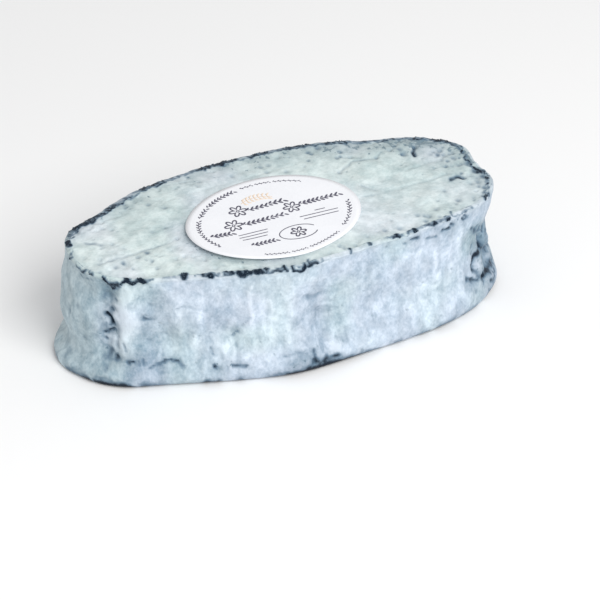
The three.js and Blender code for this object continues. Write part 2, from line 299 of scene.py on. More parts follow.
# The marks of age on the side. Each is a path of (degrees round the oval, millimetres
# up), with its half width and depth in millimetres and how dark it is.
sideCreases = [
    ([(206.4, 26.4), (208.4, 25.4)], 1.1, 0.3, 0.42),
    ([(207.6, 21.2), (208.2, 20.8)], 0.7, 0.4, 0.65),
    ([(206.1, 19), (207.6, 18), (208.6, 16.6)], 0.62, 0.8, 1.1),
    ([(204.5, 13.9), (206.6, 14.3), (209, 15.2)], 0.55, 0.8, 1.05),
    ([(205.4, 12.6), (205.9, 12.2)], 0.6, 0.4, 0.6),
    ([(211, 14), (211.2, 10.6)], 0.5, 0.5, 0.45),
    ([(213.9, 12), (214.8, 10.2)], 0.6, 0.4, 0.45),
    ([(205.6, 7), (207.2, 7.4), (208.2, 9)], 1.2, 0.3, 0.6),
    ([(211, 7.9), (211.6, 7.6)], 0.95, 0.6, 0.8),
    ([(216.2, 7.1), (217.2, 7.4)], 0.78, 0.6, 0.85),
    ([(219, 7.7), (219.4, 6.6)], 0.35, 0.3, 0.45),
    ([(221, 7.8), (221.2, 6.6)], 0.35, 0.3, 0.5),
    ([(223.2, 5.6), (226.1, 6.5), (228.3, 6.9)], 0.4, 0.4, 0.6),
    ([(228.3, 6.9), (230.2, 7.2), (232.6, 6.9)], 0.48, 0.45, 0.7),
    ([(232.2, 7.1), (233.8, 5.9), (235, 5.6)], 0.4, 0.3, 0.5),
    ([(221.4, 19.6), (222.8, 19), (224, 19.1)], 0.75, 0.4, 0.6),
    ([(229, 18.7), (229.8, 18.6), (230.3, 16), (228.3, 14)], 0.55, 0.3, 0.28),
    ([(228, 14.1), (228.8, 14.3)], 0.65, 0.4, 0.4),
    ([(223.6, 23.1), (224.1, 23)], 0.45, 0.3, 0.35),
    ([(232.4, 22.2), (234.9, 22.7)], 0.36, 0.3, 0.4),
    ([(222, 13), (222.8, 12.4)], 0.4, 0.3, 0.35),
    ([(243.4, 5.2), (243.8, 5)], 0.7, 0.6, 0.95),
    ([(248.4, 5.2), (250.3, 5.2), (252.2, 4.7)], 0.55, 0.45, 0.75),
    ([(249, 12.8), (250.3, 13.9)], 0.6, 0.45, 0.52),
    ([(251.6, 15.8), (252.2, 16.4)], 0.5, 0.4, 0.4),
    ([(249.9, 10.6), (250.2, 7.4)], 0.32, 0.4, 0.35),
    ([(242.6, 9.6), (243.4, 8)], 0.4, 0.4, 0.4),
    ([(266.4, 21.4), (267.8, 20.6), (269.2, 20.9)], 0.7, 0.3, 0.32),
    ([(270.6, 20.2), (272.8, 20.8)], 0.7, 0.3, 0.28),
    ([(269.4, 18.2), (271.6, 17.6), (273.2, 18.4)], 0.65, 0.3, 0.25),
    ([(268.4, 17.4), (269.7, 13.6), (268.8, 9.4)], 1.5, 0.7, 0.22),
    ([(267.6, 6.4), (267.4, 4.4)], 0.7, 0.6, 0.75),
    ([(266.2, 2.4), (267.4, 4), (268.4, 2.6)], 1.1, 0.4, 0.9),
    ([(269.2, 2.4), (271.4, 3.2)], 1.2, 0.3, 0.8),
    ([(261.2, 6.4), (263.5, 7.3), (265.8, 6.4), (266.4, 5)], 0.6, 0.4, 0.4),
    ([(203.5, 2.4), (210, 2.3), (218, 2.1)], 0.3, 0.35, 0.4),
    ([(290, 28.2), (290.4, 28.1)], 0.4, 0.3, 0.6),
    ([(292.1, 28.9), (294.3, 28.6)], 0.45, 0.4, 0.75),
    ([(297.4, 27.6), (300.6, 27.2)], 0.34, 0.3, 0.55),
    ([(303.3, 28.3), (305.9, 27.9)], 0.5, 0.4, 0.85),
    ([(306.7, 28.8), (307.5, 28.6)], 0.5, 0.4, 0.85),
    ([(311.4, 29.2), (312.6, 28.2), (313.6, 29), (312.6, 29.8)], 0.35, 0.4, 0.75),
    ([(276.5, 26.6), (284, 26.8), (291, 26.2)], 0.6, 0.25, 0.16),
    ([(317.8, 23.4), (319.8, 22.2), (321.6, 22.6)], 0.9, 0.4, 0.6),
    ([(322.6, 20.6), (324.6, 19.6), (325.8, 20.2)], 0.8, 0.5, 0.65),
    ([(326.6, 17.6), (328.4, 16.4)], 0.7, 0.4, 0.55),
    ([(327.4, 14.6), (329, 13.1), (331.4, 12.6)], 1, 0.6, 0.95),
    ([(325.6, 13.8), (320.6, 13.9), (317.6, 12.8), (317.4, 11.4), (318.9, 10.4)], 0.75, 0.35, 0.95),
    ([(319.2, 9.2), (321.4, 8)], 0.7, 0.4, 0.6),
    ([(322.6, 7.4), (327, 7), (332.9, 6.2), (338, 6)], 0.95, 0.55, 1),
    ([(313.6, 10.2), (316.4, 8.8), (319.6, 7.9)], 0.6, 0.35, 0.7),
    ([(332, 11.6), (336, 10.8), (340.4, 9.6)], 0.9, 0.5, 0.7),
    ([(341.2, 5.2), (344, 6.2), (347, 5.6)], 0.9, 0.5, 0.8),
    ([(344.4, 9.4), (347.6, 8.6)], 0.8, 0.4, 0.75),
    ([(342.6, 10.4), (345, 14), (345.6, 19)], 1.1, 0.4, 0.35),
    ([(334, 17), (336.4, 14.6)], 0.8, 0.4, 0.5),
    ([(328.6, 4.4), (331, 3.4), (334, 3.6), (336.4, 4.8)], 0.65, 0.4, 0.8),
    ([(322.4, 11.6), (325.4, 10.2), (327.8, 10.6)], 0.5, 0.45, 0.35),
    ([(16, 11), (20, 8.5), (24, 8)], 0.9, 0.6, 0.7),
    ([(46, 20), (50, 17.5)], 0.7, 0.5, 0.6),
    ([(56, 9), (60, 7.6), (63, 8.4)], 0.7, 0.5, 0.55),
    ([(74, 21), (73.6, 18), (74.6, 14)], 1, 0.7, 0.5),
    ([(74.6, 14), (74, 11), (73.8, 6)], 1.3, 0.7, 0.4),
    ([(84, 24), (86, 22.4)], 0.7, 0.4, 0.5),
    ([(96, 5.4), (101, 6), (105, 5.2)], 0.65, 0.5, 0.75),
    ([(112, 24), (117, 22.5)], 0.7, 0.4, 0.5),
    ([(128, 9), (131, 10.4)], 0.8, 0.5, 0.6),
    ([(142, 21), (143, 17)], 0.9, 0.6, 0.55),
    ([(142.6, 14.6), (142, 9)], 1.3, 0.6, 0.4),
    ([(160, 6), (165, 7), (171, 6)], 0.7, 0.5, 0.6),
]

# Small marks strewn over the side besides those listed: degrees, millimetres up, how
# dark, and how many.
strewnMarks = [
    ((-14, 200), (3.5, 29), (0.14, 0.5), 96), ((314, 346), (4, 25), (0.3, 0.95), 80),
    ((202, 211), (5, 29), (0.2, 0.55), 24), ((204, 210), (23, 29), (0.2, 0.6), 14),
    ((262, 274), (5, 22), (0.15, 0.42), 34), ((212, 262), (4, 29), (0.1, 0.3), 64),
    ((274, 314), (4, 29), (0.1, 0.3), 50),
]

# Small pits strewn over the top: degrees, millimetres inward from the rim, how dark,
# and how many.
strewnPits = [
    ((-24, 80), (0.6, 7.5), (0.2, 0.75), 60), ((80, 166), (0.6, 6), (0.15, 0.5), 36),
    ((270, 336), (0.6, 4), (0.2, 0.6), 26), ((184, 262), (1, 13), (0.12, 0.42), 34),
]

# Ridges of the side that stand out pale: path, half width, height and how pale. The paleness is partly the
# bloom's own and partly a painted highlight along each ridge.
sideRibs = [
    ([(215.2, 28.4), (213.4, 22.6), (214.8, 19), (213.8, 13.6), (214.6, 10.2)], 2.2, 0.3, 1.05),
    ([(217.2, 21.6), (218.8, 18.8), (217, 16)], 1.2, 0.15, 0.5),
    ([(210.6, 22.6), (209.6, 20.4), (210.4, 18.6)], 0.8, 0.35, 0.6),
    ([(209.8, 12.8), (209.2, 10.8), (210.4, 9)], 0.7, 0.3, 0.45),
    ([(240.4, 25), (239.3, 17.5), (238.4, 11)], 1.1, 0.25, 0.25),
    ([(253.5, 27.4), (253.8, 16.5)], 0.6, 0.3, 0.8),
    ([(258.6, 24), (259, 11)], 1.2, 0.15, 0.35),
    ([(233, 24), (233.5, 15), (232.2, 10)], 1.2, 0.15, 0.35),
    ([(262.8, 22), (263, 15), (262, 10)], 1, 0.2, 0.4),
    ([(245, 10.6), (246.4, 8.8), (247.4, 10.4)], 0.9, 0.2, 0.7),
    ([(248.8, 12), (248.7, 7)], 0.6, 0.2, 0.5),
    ([(270.6, 8), (271.8, 4.6)], 1.6, 0.3, 0.6),
    ([(300.2, 25), (300.6, 13)], 1, 0.2, 0.4),
    ([(306.4, 24), (306.6, 15)], 0.8, 0.2, 0.45),
    ([(311, 26), (310.4, 17)], 1, 0.2, 0.45),
    ([(330.6, 4.6), (334.4, 4.6)], 0.9, 0.3, 1),
    ([(322.4, 11.4), (327.6, 10.4)], 1.3, 0.15, 0.7),
    ([(78, 24), (79, 9)], 1, 0.2, 0.5),
    ([(91, 25), (90, 12)], 1.4, 0.2, 0.45),
    ([(147, 25), (148, 10)], 1.4, 0.3, 0.5),
    ([(55, 22), (56, 12)], 1.1, 0.2, 0.45),
]

# Broad patches of the side: degrees, up, reach along and up, and tone from dark to pale. Some are the
# rind's own patchy tone; others are painted shade in folds and hollows, and painted light where the folds
# would leave the rind in shade.
sidePatches = [
    (180, 16, 16, 18, -0.1), (198, 12, 6, 16, -0.35), (352, 18, 14, 14, -0.6), (303, 20, 12, 10, -0.3),
    (322, 16, 9, 12, -0.45), (262, 12, 20, 16, -0.12), (228, 12, 10, 12, -0.15),
    (206, 26, 4.6, 4.4, -0.7), (224, 27.2, 4.4, 1.5, -0.55), (223.4, 23.2, 3.4, 3.1, -0.6),
    (222.6, 14, 3.6, 3.6, -0.45), (231.4, 12.4, 3.2, 4.2, -0.45), (244, 19.5, 3.6, 6, -0.38),
    (263.4, 4.6, 4.8, 1.9, -0.8), (268.4, 14, 2.6, 5.5, -0.45), (271.5, 22, 4.5, 2.6, -0.35),
    (283, 16, 6, 6, -0.25), (318.5, 21, 4, 6, -0.5), (332, 12, 5, 6, -0.55), (345, 17, 7, 7, -0.6),
    (322, 11.4, 2.6, 2.2, 0.5), (219.6, 9.8, 3.6, 3.6, -0.75), (214, 4.4, 8, 2.4, -0.5),
    (227, 5, 8, 2.2, -0.35), (237, 5, 6, 2.2, -0.3), (206.4, 9.6, 2.4, 2.6, -0.5),
    (207.6, 22.4, 2.6, 3, 0.6), (208.4, 12.6, 1.8, 2.2, 0.4), (281, 31.4, 13, 1.6, -0.35),
    (223.6, 11.4, 3.6, 3, -0.4), (204.6, 24, 2.4, 5, -0.35), (317, 18, 5, 8, 0.35), (281, 25, 8, 5, -0.2),
    (255, 8, 5, 6, 0.3), (257, 20, 7, 7, 0.25), (277, 19, 6, 5, 0.15), (295, 17, 6, 8, 0.2),
    (20, 14, 7, 8, -0.5), (52, 19, 6, 6, -0.45), (103, 15, 8, 8, -0.4), (132, 20, 6, 6, -0.4),
    (66, 12, 6, 8, 0.35), (120, 10, 5, 7, 0.35), (154, 16, 7, 9, -0.4), (38, 8, 7, 6, -0.45),
    (86, 14, 5, 10, -0.35), (110, 25, 8, 4, 0.35), (140, 8, 6, 4, 0.4), (74, 9, 3, 8, -0.5),
    (169, 8, 6, 5, 0.3), (8, 24, 7, 5, 0.35), (0, 8, 6, 5, -0.4), (95, 5, 9, 3, -0.5),
    (128, 4, 8, 3, -0.4), (57, 27, 7, 3, -0.4),
]

# Stains of the side: turn and reach along in radians, up, reach up and strength.
sideStains = [(5.72, 0.2, 12, 9, 0.85), (3.62, 0.08, 25, 5, 0.25), (4.62, 0.06, 4.6, 2.6, 0.7)]

# The creases of the top, in the same way, with X and Y in millimetres.
topCreases = [
    ([(-52.3, -8.3), (-46.4, -7.8), (-38.1, -6.5), (-30.3, -5.3)], 0.6, 0.28, 0.32),
    ([(-54, 8.4), (-28, 11.2), (8, 15)], 0.5, 0.2, 0.1),
    ([(16.8, -5.6), (23.9, -5.1), (32.6, -4.1), (44, -3.6)], 0.65, 0.26, 0.22),
    ([(-33.4, -4.2), (-32.4, -6.4), (-32.2, -8.6)], 0.6, 0.2, 0.16),
    ([(-36.6, -10.4), (-33.2, -14.4), (-31.2, -15)], 0.4, 0.2, 0.22),
    ([(18.4, 7.3), (20.6, 8.6), (22.8, 10.5), (26, 10.3), (29.4, 10), (31.9, 12), (36, 12.4)],
     0.55, 0.32, 0.3),
    ([(43.3, -5.9), (44.9, -5.4), (46.2, -6.3)], 0.8, 0.6, 0.95),
    ([(40.4, 11.4), (39.3, 9.4), (38.9, 7.8)], 0.6, 0.7, 1),
    ([(-51.9, 1.3), (-50.2, 0.6), (-48.9, -0.9), (-48.9, -2.3)], 0.95, 0.35, 0.4),
    ([(20.8, -0.2), (23.6, -3.4)], 0.5, 0.3, 0.35),
    ([(17.6, 1.8), (17.2, 0.2)], 0.4, 0.25, 0.3),
    ([(-36.4, 1.7), (-34.6, 2.4), (-33.6, 1.2), (-35.4, 0.4), (-36.4, 1.7)], 0.3, 0.2, 0.25),
    ([(28, -16), (36, -12)], 0.6, 0.2, 0.14),
    ([(34, 2), (44, 4)], 0.6, 0.2, 0.14),
]

# Small pits of the top: place, half width and how dark they are.
topPits = [
    (-39.5, -8.1, 0.55, 0.7), (-42, -9.2, 0.45, 0.55), (-46.2, -10.1, 0.5, 0.7),
    (-39.5, -11.7, 0.45, 0.55), (-48.6, -10.9, 0.6, 0.5), (-44.9, -13.1, 0.4, 0.45),
    (-39.4, -15.3, 0.5, 0.45), (-53, -11.6, 0.4, 0.5), (-33.7, -13.7, 0.4, 0.35),
    (-35.1, -0.1, 0.45, 0.5), (-31.4, 0.4, 0.4, 0.4), (-28.8, 8.3, 0.5, 0.45), (-30.3, -5.3, 0.5, 0.45),
    (-44, 4.6, 0.45, 0.35), (-7.9, 15.8, 0.5, 0.5), (0.5, 17.4, 0.5, 0.5), (1.1, 14.3, 0.6, 0.45),
    (5.6, 12.5, 0.6, 0.5), (10.7, 13.4, 0.55, 0.4), (18.1, 7.2, 0.55, 0.5), (23.1, 12.7, 0.5, 0.45),
    (29.3, 9.9, 0.5, 0.55), (41.2, 0.6, 0.5, 0.4), (39.5, -10.1, 0.45, 0.5), (34.2, -17.4, 0.55, 0.6),
    (36.2, -13.6, 0.4, 0.4), (28.5, -18.2, 0.6, 0.5), (49.9, -1.2, 0.8, 0.9), (50.4, -4.6, 0.9, 1),
    (51.4, -8, 0.8, 1), (49.6, -12.4, 0.6, 0.7), (48, -15.6, 0.6, 0.8), (47.2, -9.6, 0.5, 0.4),
    (44.6, 3.4, 0.5, 0.4), (-16, -24.2, 0.5, 0.35), (-24, -20.4, 0.45, 0.35), (-20, -22.8, 0.5, 0.3),
    (2, -25.2, 0.5, 0.35), (-47.4, 9.6, 0.4, 0.35), (-18, 14.2, 0.4, 0.3), (32, 18.4, 0.6, 0.5),
]

# Broad patches of the top: place, reach and tone from dark to pale.
topPatches = [
    (-50, -5.4, 6, 0.2), (-40, -12, 8, 0.2), (-33, 7, 9, 0.05), (27, -17, 8, 0.25), (33, -2, 11, -0.2),
    (46, -4, 6, -0.3), (11, 17, 12, 0.15), (-16, -20, 8, 0.1), (-46, 0, 5.5, 0.4), (-31.5, 0, 6, -0.5),
]

# The dark crust along the rim: degrees round the oval, how far below the rim in
# millimetres, and how heavy it is.
rimCrust = [
    (0, -1, 0.8), (6, -0.8, 0.85), (12, -0.6, 0.75), (18, -0.3, 0.6), (24, 0, 0.7), (30, 0.1, 0.9),
    (36, 0.2, 1), (42, 0.2, 0.8), (47, 0.2, 0.9), (53, 0.2, 0.45), (60, 0.2, 0.6), (68, 0.2, 0.75),
    (74, 0.2, 0.5), (80, 0.2, 0.8), (86, 0.2, 0.85), (92, 0.2, 0.45), (96, 0.2, 0.9), (100, 0.2, 0.95),
    (104, 0.2, 0.5), (109, 0.2, 0.4), (114, 0.2, 1), (120, 0.2, 0.9), (126, 0.1, 0.5), (134, 0.1, 0.5),
    (141, 0.1, 0.6), (147, 0.1, 0.75), (153, 0, 1), (157, 0, 1.1), (161, 0, 0.8), (165, 0, 0.8),
    (169, 0, 0.9), (172, 0.1, 0.35), (175, 0, 0.7), (178, 0, 0.3), (184, 0, 0.6), (186, 0.2, 0.3),
    (190, 0.3, 0.45), (193, 0.4, 0.3), (199, 0.6, 0.3), (203, 0.3, 0.15), (222, 0.3, 0.15),
    (225, 0.3, 0.3), (239.4, 0.3, 0.4), (244, 0.2, 0.6), (250, 0.2, 0.8), (262, 0.2, 0.8),
    (269, 0.4, 0.7), (271, 0.4, 0.35), (276, 0.2, 0.3), (284, 0.1, 0.35), (288, 0.1, 0.7),
    (306, 0.4, 0.7), (309, 0.4, 0.5), (318, 0.4, 0.35), (326, 0.2, 0.45), (331, -0.4, 0.75),
    (336, -0.8, 0.8), (342, -1, 0.85), (350, -1.1, 0.9), (360, -1, 0.9),
]

# The chance lumps of that crust, in millimetres.
crustLumps = {
    "pitch": 0.85, "halfWidth": 0.74, "scatter": 0.34, "high": 0.4, "seed": 5,
    "leftOut": (170, 310),  # degrees with no chance lumps
}

# The crust of the front's rim, stroke by stroke: a path of (degrees, millimetres below
# the rim, less than nothing on the top), half width in millimetres and how dark it is.
frontCrust = [
    ([(170, -0.9), (171.5, -0.6)], 0.42, 0.8), ([(173.7, 0.1), (176.5, 0), (177.8, -0.2)], 0.5, 1.2),
    ([(182.2, 1.1), (184.8, 0.4)], 0.45, 0.8), ([(190.7, 0.4), (192.3, 0.4)], 0.38, 0.7),
    ([(193.8, 1.1), (196.1, 0.4)], 0.48, 0.9), ([(191.5, 3.1), (193, 3.5)], 0.5, 0.55),
    ([(194.6, 3.4), (199, 2.7)], 0.5, 0.45), ([(198.4, 0.3), (199.9, 0.5)], 0.42, 0.8),
    ([(205.6, 0.4), (207, 1.4), (208.3, 2.2)], 0.38, 1.15), ([(208.8, 2.2), (211.6, 1.8)], 0.95, 1),
    ([(209.4, 3.3), (210.6, 3)], 0.6, 1.1), ([(213, 1), (213.3, 0.9)], 0.42, 0.85),
    ([(213.7, 0.4), (215.3, -0.1), (216.4, 0.4), (217.8, 0.9), (218.8, 0.7)], 0.38, 1.2),
    ([(219.2, 0.3), (220.1, -0.1), (221.9, 0.4), (222.6, 0.4)], 0.4, 1.15),
    ([(222.8, 0.3), (225, 0.2)], 0.3, 0.45), ([(228.6, 0.1), (232.4, 0.1)], 0.42, 0.3),
    ([(234.9, 0), (235.7, 0)], 0.78, 1.3), ([(238.6, 0), (240.9, 0.1)], 0.34, 0.5),
    ([(240.9, 0.2), (242.2, 0.2)], 0.4, 0.85), ([(242.9, 0.3), (243.3, 0.3)], 0.69, 1.1),
    ([(245.3, 0.2), (245.7, 0.1)], 0.54, 0.5), ([(247, 0), (248.2, 0.2), (249.4, 0.1)], 0.5, 0.85),
    ([(249.4, 0), (250.7, -0.2)], 0.4, 0.5), ([(250.7, 0.2), (251.9, 0.7), (253, 0.3)], 0.71, 1.15),
    ([(252.2, 0), (253, -0.3)], 0.45, 0.75), ([(253, 0.3), (254.6, 0.2), (256.5, 0.1)], 0.53, 0.95),
    ([(255, -0.2), (256.1, -0.2)], 0.57, 1.1), ([(257.6, -0.2), (257.9, -0.4)], 0.66, 1.15),
    ([(256.5, 0.2), (258.3, 0.35), (260.4, 0.3)], 0.42, 0.78), ([(260.1, -0.7), (260.1, 0)], 0.4, 0.4),
    ([(260.1, 0.3), (261.1, 0.3), (262.5, 0.6)], 0.45, 0.8), ([(261.8, -0.5), (261.8, 0.2)], 0.53, 1.15),
    ([(263.6, 0), (263.8, 0.7)], 0.48, 0.9), ([(263.8, 0.9), (264.8, 1.4), (265.8, 1.2)], 0.5, 0.95),
    ([(265.8, 1), (266.4, 0.2)], 0.61, 1.05), ([(267.5, -0.9), (267.3, 0)], 0.42, 0.8),
    ([(267.2, 0.5), (267.9, 0.4)], 0.61, 1.05), ([(268.1, 0.3), (268.9, 0.3)], 0.46, 0.9),
    ([(269.4, 0.5), (269.8, 0.2)], 0.4, 0.4), ([(275.5, -0.1), (275.5, 0.3)], 0.47, 0.9),
    ([(278.4, -0.4), (280, 0)], 0.34, 0.35), ([(280, 0), (280.6, 0.2)], 0.43, 0.75),
    ([(286.6, 0.2), (287.8, 0.1)], 0.38, 0.8), ([(287.9, 0.1), (288.5, 0.2)], 0.49, 1.05),
    ([(291.4, -0.1), (293, 0)], 0.38, 0.75), ([(293.1, 0.1), (293.9, 0)], 0.47, 1.1),
    ([(296.5, 0.1), (299.4, 0.1)], 0.36, 0.65), ([(299.6, 0.2), (300.5, 0.1)], 0.48, 1),
    ([(301.4, 0.2), (304.5, 0.4)], 0.34, 0.5), ([(304.7, 0.4), (305.7, 0.6)], 0.48, 1.15),
    ([(308.6, -1), (307.8, -0.4)], 0.4, 0.9), ([(308.6, 2.2), (309.7, 0.9)], 0.34, 0.5),
]

# How dark the ragged edge on the floor is, by degrees round the oval: partly ash, partly a painted contact
# shadow where the foot meets the floor.
footAshAndShadowEdge = [
    (0, 0.5), (30, 0.35), (60, 0.7), (75, 0.3), (95, 0.6), (120, 0.35), (140, 0.7), (165, 0.4),
    (184, 0.4), (196, 0.5), (203, 0.9), (208, 1), (215, 1), (219, 0.7), (224, 0.45), (229, 0.3),
    (239, 0.2), (241, 0.8), (242.6, 0.5), (244, 0.85), (246, 0.4), (250, 0.5), (254, 0.25), (258, 0.35),
    (261, 0.7), (264, 1), (267, 1.3), (271, 1.2), (274, 0.8), (280, 0.45), (290, 0.4), (300, 0.6),
    (315, 0.4), (335, 0.7), (360, 0.5),
]

# Blue-grey mould inward from the rim: degrees, reach in millimetres and strength.
rimStain = [
    (0, 5.5, 1.2), (12, 6, 1.2), (24, 7, 1.25), (40, 8, 1.25), (56, 7, 1.15), (72, 7, 0.95),
    (90, 6.5, 0.8), (112, 5, 0.6), (130, 5, 0.7), (150, 3.6, 0.75), (166, 2.2, 0.6), (180, 1.2, 0.4),
    (200, 1.4, 0.3), (236, 1.8, 0.35), (268, 2, 0.3), (288, 3, 0.25), (310, 4, 0.45), (330, 3.5, 0.6),
    (346, 4.5, 0.9), (360, 5, 1),
]


def strewCreases():
    random = np.random.default_rng(23)
    marks = []
    for degreesBetween, upBetween, darkBetween, count in strewnMarks:
        for k in range(count):
            degrees = random.uniform(*degreesBetween)
            up = random.uniform(*upBetween)
            lean = random.uniform(-0.5, 0.5) + (math.pi / 2 if random.uniform() < 0.3 else 0)
            long = 2.2 * random.uniform(0.05, 1) ** 1.6
            bend = random.uniform(-0.4, 0.4) * long
            step = (0.4 * long * math.cos(lean), long * math.sin(lean))
            middle = (degrees + 0.4 * bend * math.sin(lean), up + bend * math.cos(lean))
            path = [(degrees - step[0], up - step[1]), middle, (degrees + step[0], up + step[1])]
            wide = random.uniform(0.45, 0.95)
            dark = random.uniform(*darkBetween) * (1.15 - wide * 0.4)
            marks.append((path, wide, 0.55 * dark, dark))
    return marks


def onRun(marks):
    # The same marks with the degrees of their paths turned into millimetres of run.
    return [([(runAt(degrees), up) for degrees, up in path], *rest) for path, *rest in marks]


def nearPath(u, v, path, closed=False):
    # Distance from each place to a path of straight pieces, round the oval if closed.
    nearest = np.full(np.broadcast(u, v).shape, 1e3)
    for (u0, v0), (u1, v1) in zip(path[:-1], path[1:]):
        du = shorterWay(u - u0) if closed else u - u0
        alongU = u1 - u0
        alongV = v1 - v0
        length = max(alongU**2 + alongV**2, 1e-6)
        share = np.clip((du * alongU + (v - v0) * alongV) / length, 0, 1)
        nearest = np.minimum(nearest, np.hypot(du - share * alongU, v - v0 - share * alongV))
    return nearest


def carve(u, v, creases, points, closed=False):
    # How deep the creases are at each place, how dark, and how dark their surroundings.
    depth = 0
    dark = 0
    halo = 0
    thinner = 1 + chanceField("crease width", points)
    fainter = 0.95 + chanceField("crease shade", points)
    broken = smooth(chanceField("crease breaks", points), -0.35, 0.3)
    for path, wide, deep, darkest in creases:
        near = nearPath(u, v, path, closed)
        steady = min(1.8 * darkest, 1)
        kept = steady + (1 - steady) * broken
        depth = depth + kept * deep * bell(near, wide)
        shade = darkest * kept * fainter * bell(near * thinner, max(wide * 0.9, 0.45))
        dark = np.maximum(dark, shade)
        halo = np.maximum(halo, darkest * min(1.5 * darkest, 1) * bell(near, wide * 1.3 + 0.7))
    return depth, dark, halo


# The skin is a lattice: columns go round the oval, rows from the top's spine over the
# rim and down the side to the spine of the base. This is its rim.
crustDegrees, crustBelow, crustHeavy = zip(*rimCrust)
crustHere = np.interp(columnDegrees, crustDegrees, crustHeavy)
rimLine = np.concatenate([even, np.zeros((columns, 1))], axis=1)
patchy = chanceField("patchy rim", rimLine) * softness
craggy = np.clip(0.2 + 0.6 * crustHere, 0, 1)
crag = 0.42 * craggy * (chanceField("ragged rim", rimLine) + 0.1)
rimPlan = even + outward * (swing + sideOutset(np.full(columns, height)) + 0.5 * crag)[:, None]
rimTop = topHeight(*rimPlan.T) + crag
spine = even[:, 0] * (cheese["halfLength"] - cheese["halfWidth"]) / cheese["halfLength"]


def strewPits():
    random = np.random.default_rng(31)
    pits = []
    for degreesBetween, inwardBetween, darkBetween, count in strewnPits:
        for k in range(count):
            degrees = random.uniform(*degreesBetween) % 360
            inward = random.uniform(*inwardBetween)
            column = int(np.argmin(np.abs(columnDegrees - degrees)))
            place = rimPlan[column] - outward[column] * inward
            pits.append((*place, random.uniform(0.3, 0.7), random.uniform(*darkBetween)))
    return pits


# The rows of the top, with its creases and pits
share = (1 - (1 - np.arange(skin["topRows"]) / skin["topRows"]) ** 1.25)[:, None]
topX = spine + (rimPlan[:, 0] - spine) * share
topY = rimPlan[:, 1] * share
fromRim = np.hypot(rimPlan[:, 0] - topX, rimPlan[:, 1] - topY)
lip = (rimTop - topHeight(*rimPlan.T)) * smooth(-fromRim, -2.2, 0)
topPoints = np.stack([topX, topY, np.zeros_like(topX)], axis=-1)
wander = chanceField("top wander", topPoints)
topDepth, topDark, topHalo = carve(topX + wander, topY - wander, topCreases, topPoints)
for pitX, pitY, wide, dark in topPits + strewPits():
    near = np.hypot(topX + wander - pitX, 0.8 * (topY - wander - pitY))
    topDepth = topDepth + 0.35 * bell(near, wide)
    topDark = np.maximum(topDark, 0.72 * dark * bell(near, wide + 0.25))
    topHalo = np.maximum(topHalo, dark * bell(near, wide + 0.9))
underLabel = 1 - smooth(labelShare(topX, topY), 0.97, 1.12)
topDepth = topDepth * (1 - underLabel)
topDark = topDark * (1 - underLabel)
topZ = topHeight(topX, topY) + lip - topDepth


def rowShares(count):
    return (np.arange(1, count + 1) / count)[:, None]


# The rows of the side, with its creases, ribs and patches, and the painted light and shade among the ribs
# and patches
rimUps = height - rimRadius * (1 - np.cos(rowShares(skin["rimRows"]) * math.pi / 2))
lowStart = 1.6 * baseRadius
sideUps = rimUps[-1] + (lowStart - rimUps[-1]) * rowShares(skin["sideRows"]) ** 1.12
lowUps = lowStart * (1 - np.sin(rowShares(skin["lowRows"]) * math.pi / 2))
ups = np.concatenate([rimUps, sideUps, lowUps])
below = height - ups
sideFlat = even + outward * swing[:, None]
sidePoints = np.stack([*np.broadcast_arrays(*sideFlat.T, ups)], axis=-1)
wander = chanceField("side wander", sidePoints)
sideMarks = onRun(sideCreases + strewCreases())
sideDepth, sideDark, sideHalo = carve(columnRun + wander, ups - wander, sideMarks, sidePoints, True)
sideToneAndLight = chanceField("side tone", sidePoints * (1, 1, 0.6)) + chanceField("side grain", sidePoints)
for path, wide, high, pale in onRun(sideRibs):
    near = nearPath(columnRun + 1.6 * wander, ups, path, True)
    sideDepth = sideDepth - high * bell(near, wide)
    sideToneAndLight = sideToneAndLight + pale * bell(near, wide * 0.8)
for degrees, up, along, tall, tone in sidePatches:
    du = shorterWay(columnRun + 2.5 * wander - runAt(degrees))
    sideToneAndLight = sideToneAndLight + 0.72 * tone * bell(np.hypot(du / along, (ups - up) / tall), 1.0)
sideDepth = sideDepth * smooth(ups, 0.3, 2.0)
outset = sideOutset(ups)
sway = chanceField("side sway", sidePoints) * smooth(ups, 0, 5) * smooth(below, 0, 5)
for row in range(len(ups)):
    outset[row] = np.interp(columnRun + sway[row], columnRun, outset[row], period=ovalRun)
sidePlan = even + outward * (swing + outset - sideDepth)[..., None]
sideZ = ups + smooth(ups, height - 8, height) * (rimTop - height)


def walkCrust():
    # Lumps of crust in one or two rows along the rim: run, place below it, reach, strength.
    random = np.random.default_rng(crustLumps["seed"])
    lumps = []
    for run in np.arange(0, ovalRun, crustLumps["pitch"]):
        degrees = np.degrees(np.interp(run, fineRun, fineTurns))
        heavy = np.interp(degrees, crustDegrees, crustHeavy)
        heavy = heavy * (1 + 0.7 * np.interp(run, columnRun, patchy))
        line = np.interp(degrees, crustDegrees, crustBelow)
        skipped = crustLumps["leftOut"][0] < degrees < crustLumps["leftOut"][1]
        for row in range(2):
            scatter = random.uniform(-1, 1, 2) * crustLumps["scatter"]
            scatter[0] *= 2.4
            reach = crustLumps["halfWidth"] * (0.3 + 0.6 * heavy) * random.uniform(0.55, 1.25)
            strength = (0.5 + 0.64 * heavy) * random.uniform(0.65, 1.2)
            present = random.uniform() < 2.2 * heavy - 0.35
            if row == 1:
                present = heavy > 0.85 and random.uniform() < 0.45
            if present and not skipped:
                lumps.append((run + scatter[0], line + 0.62 * row - 0.1 + scatter[1], reach, strength))
    return lumps


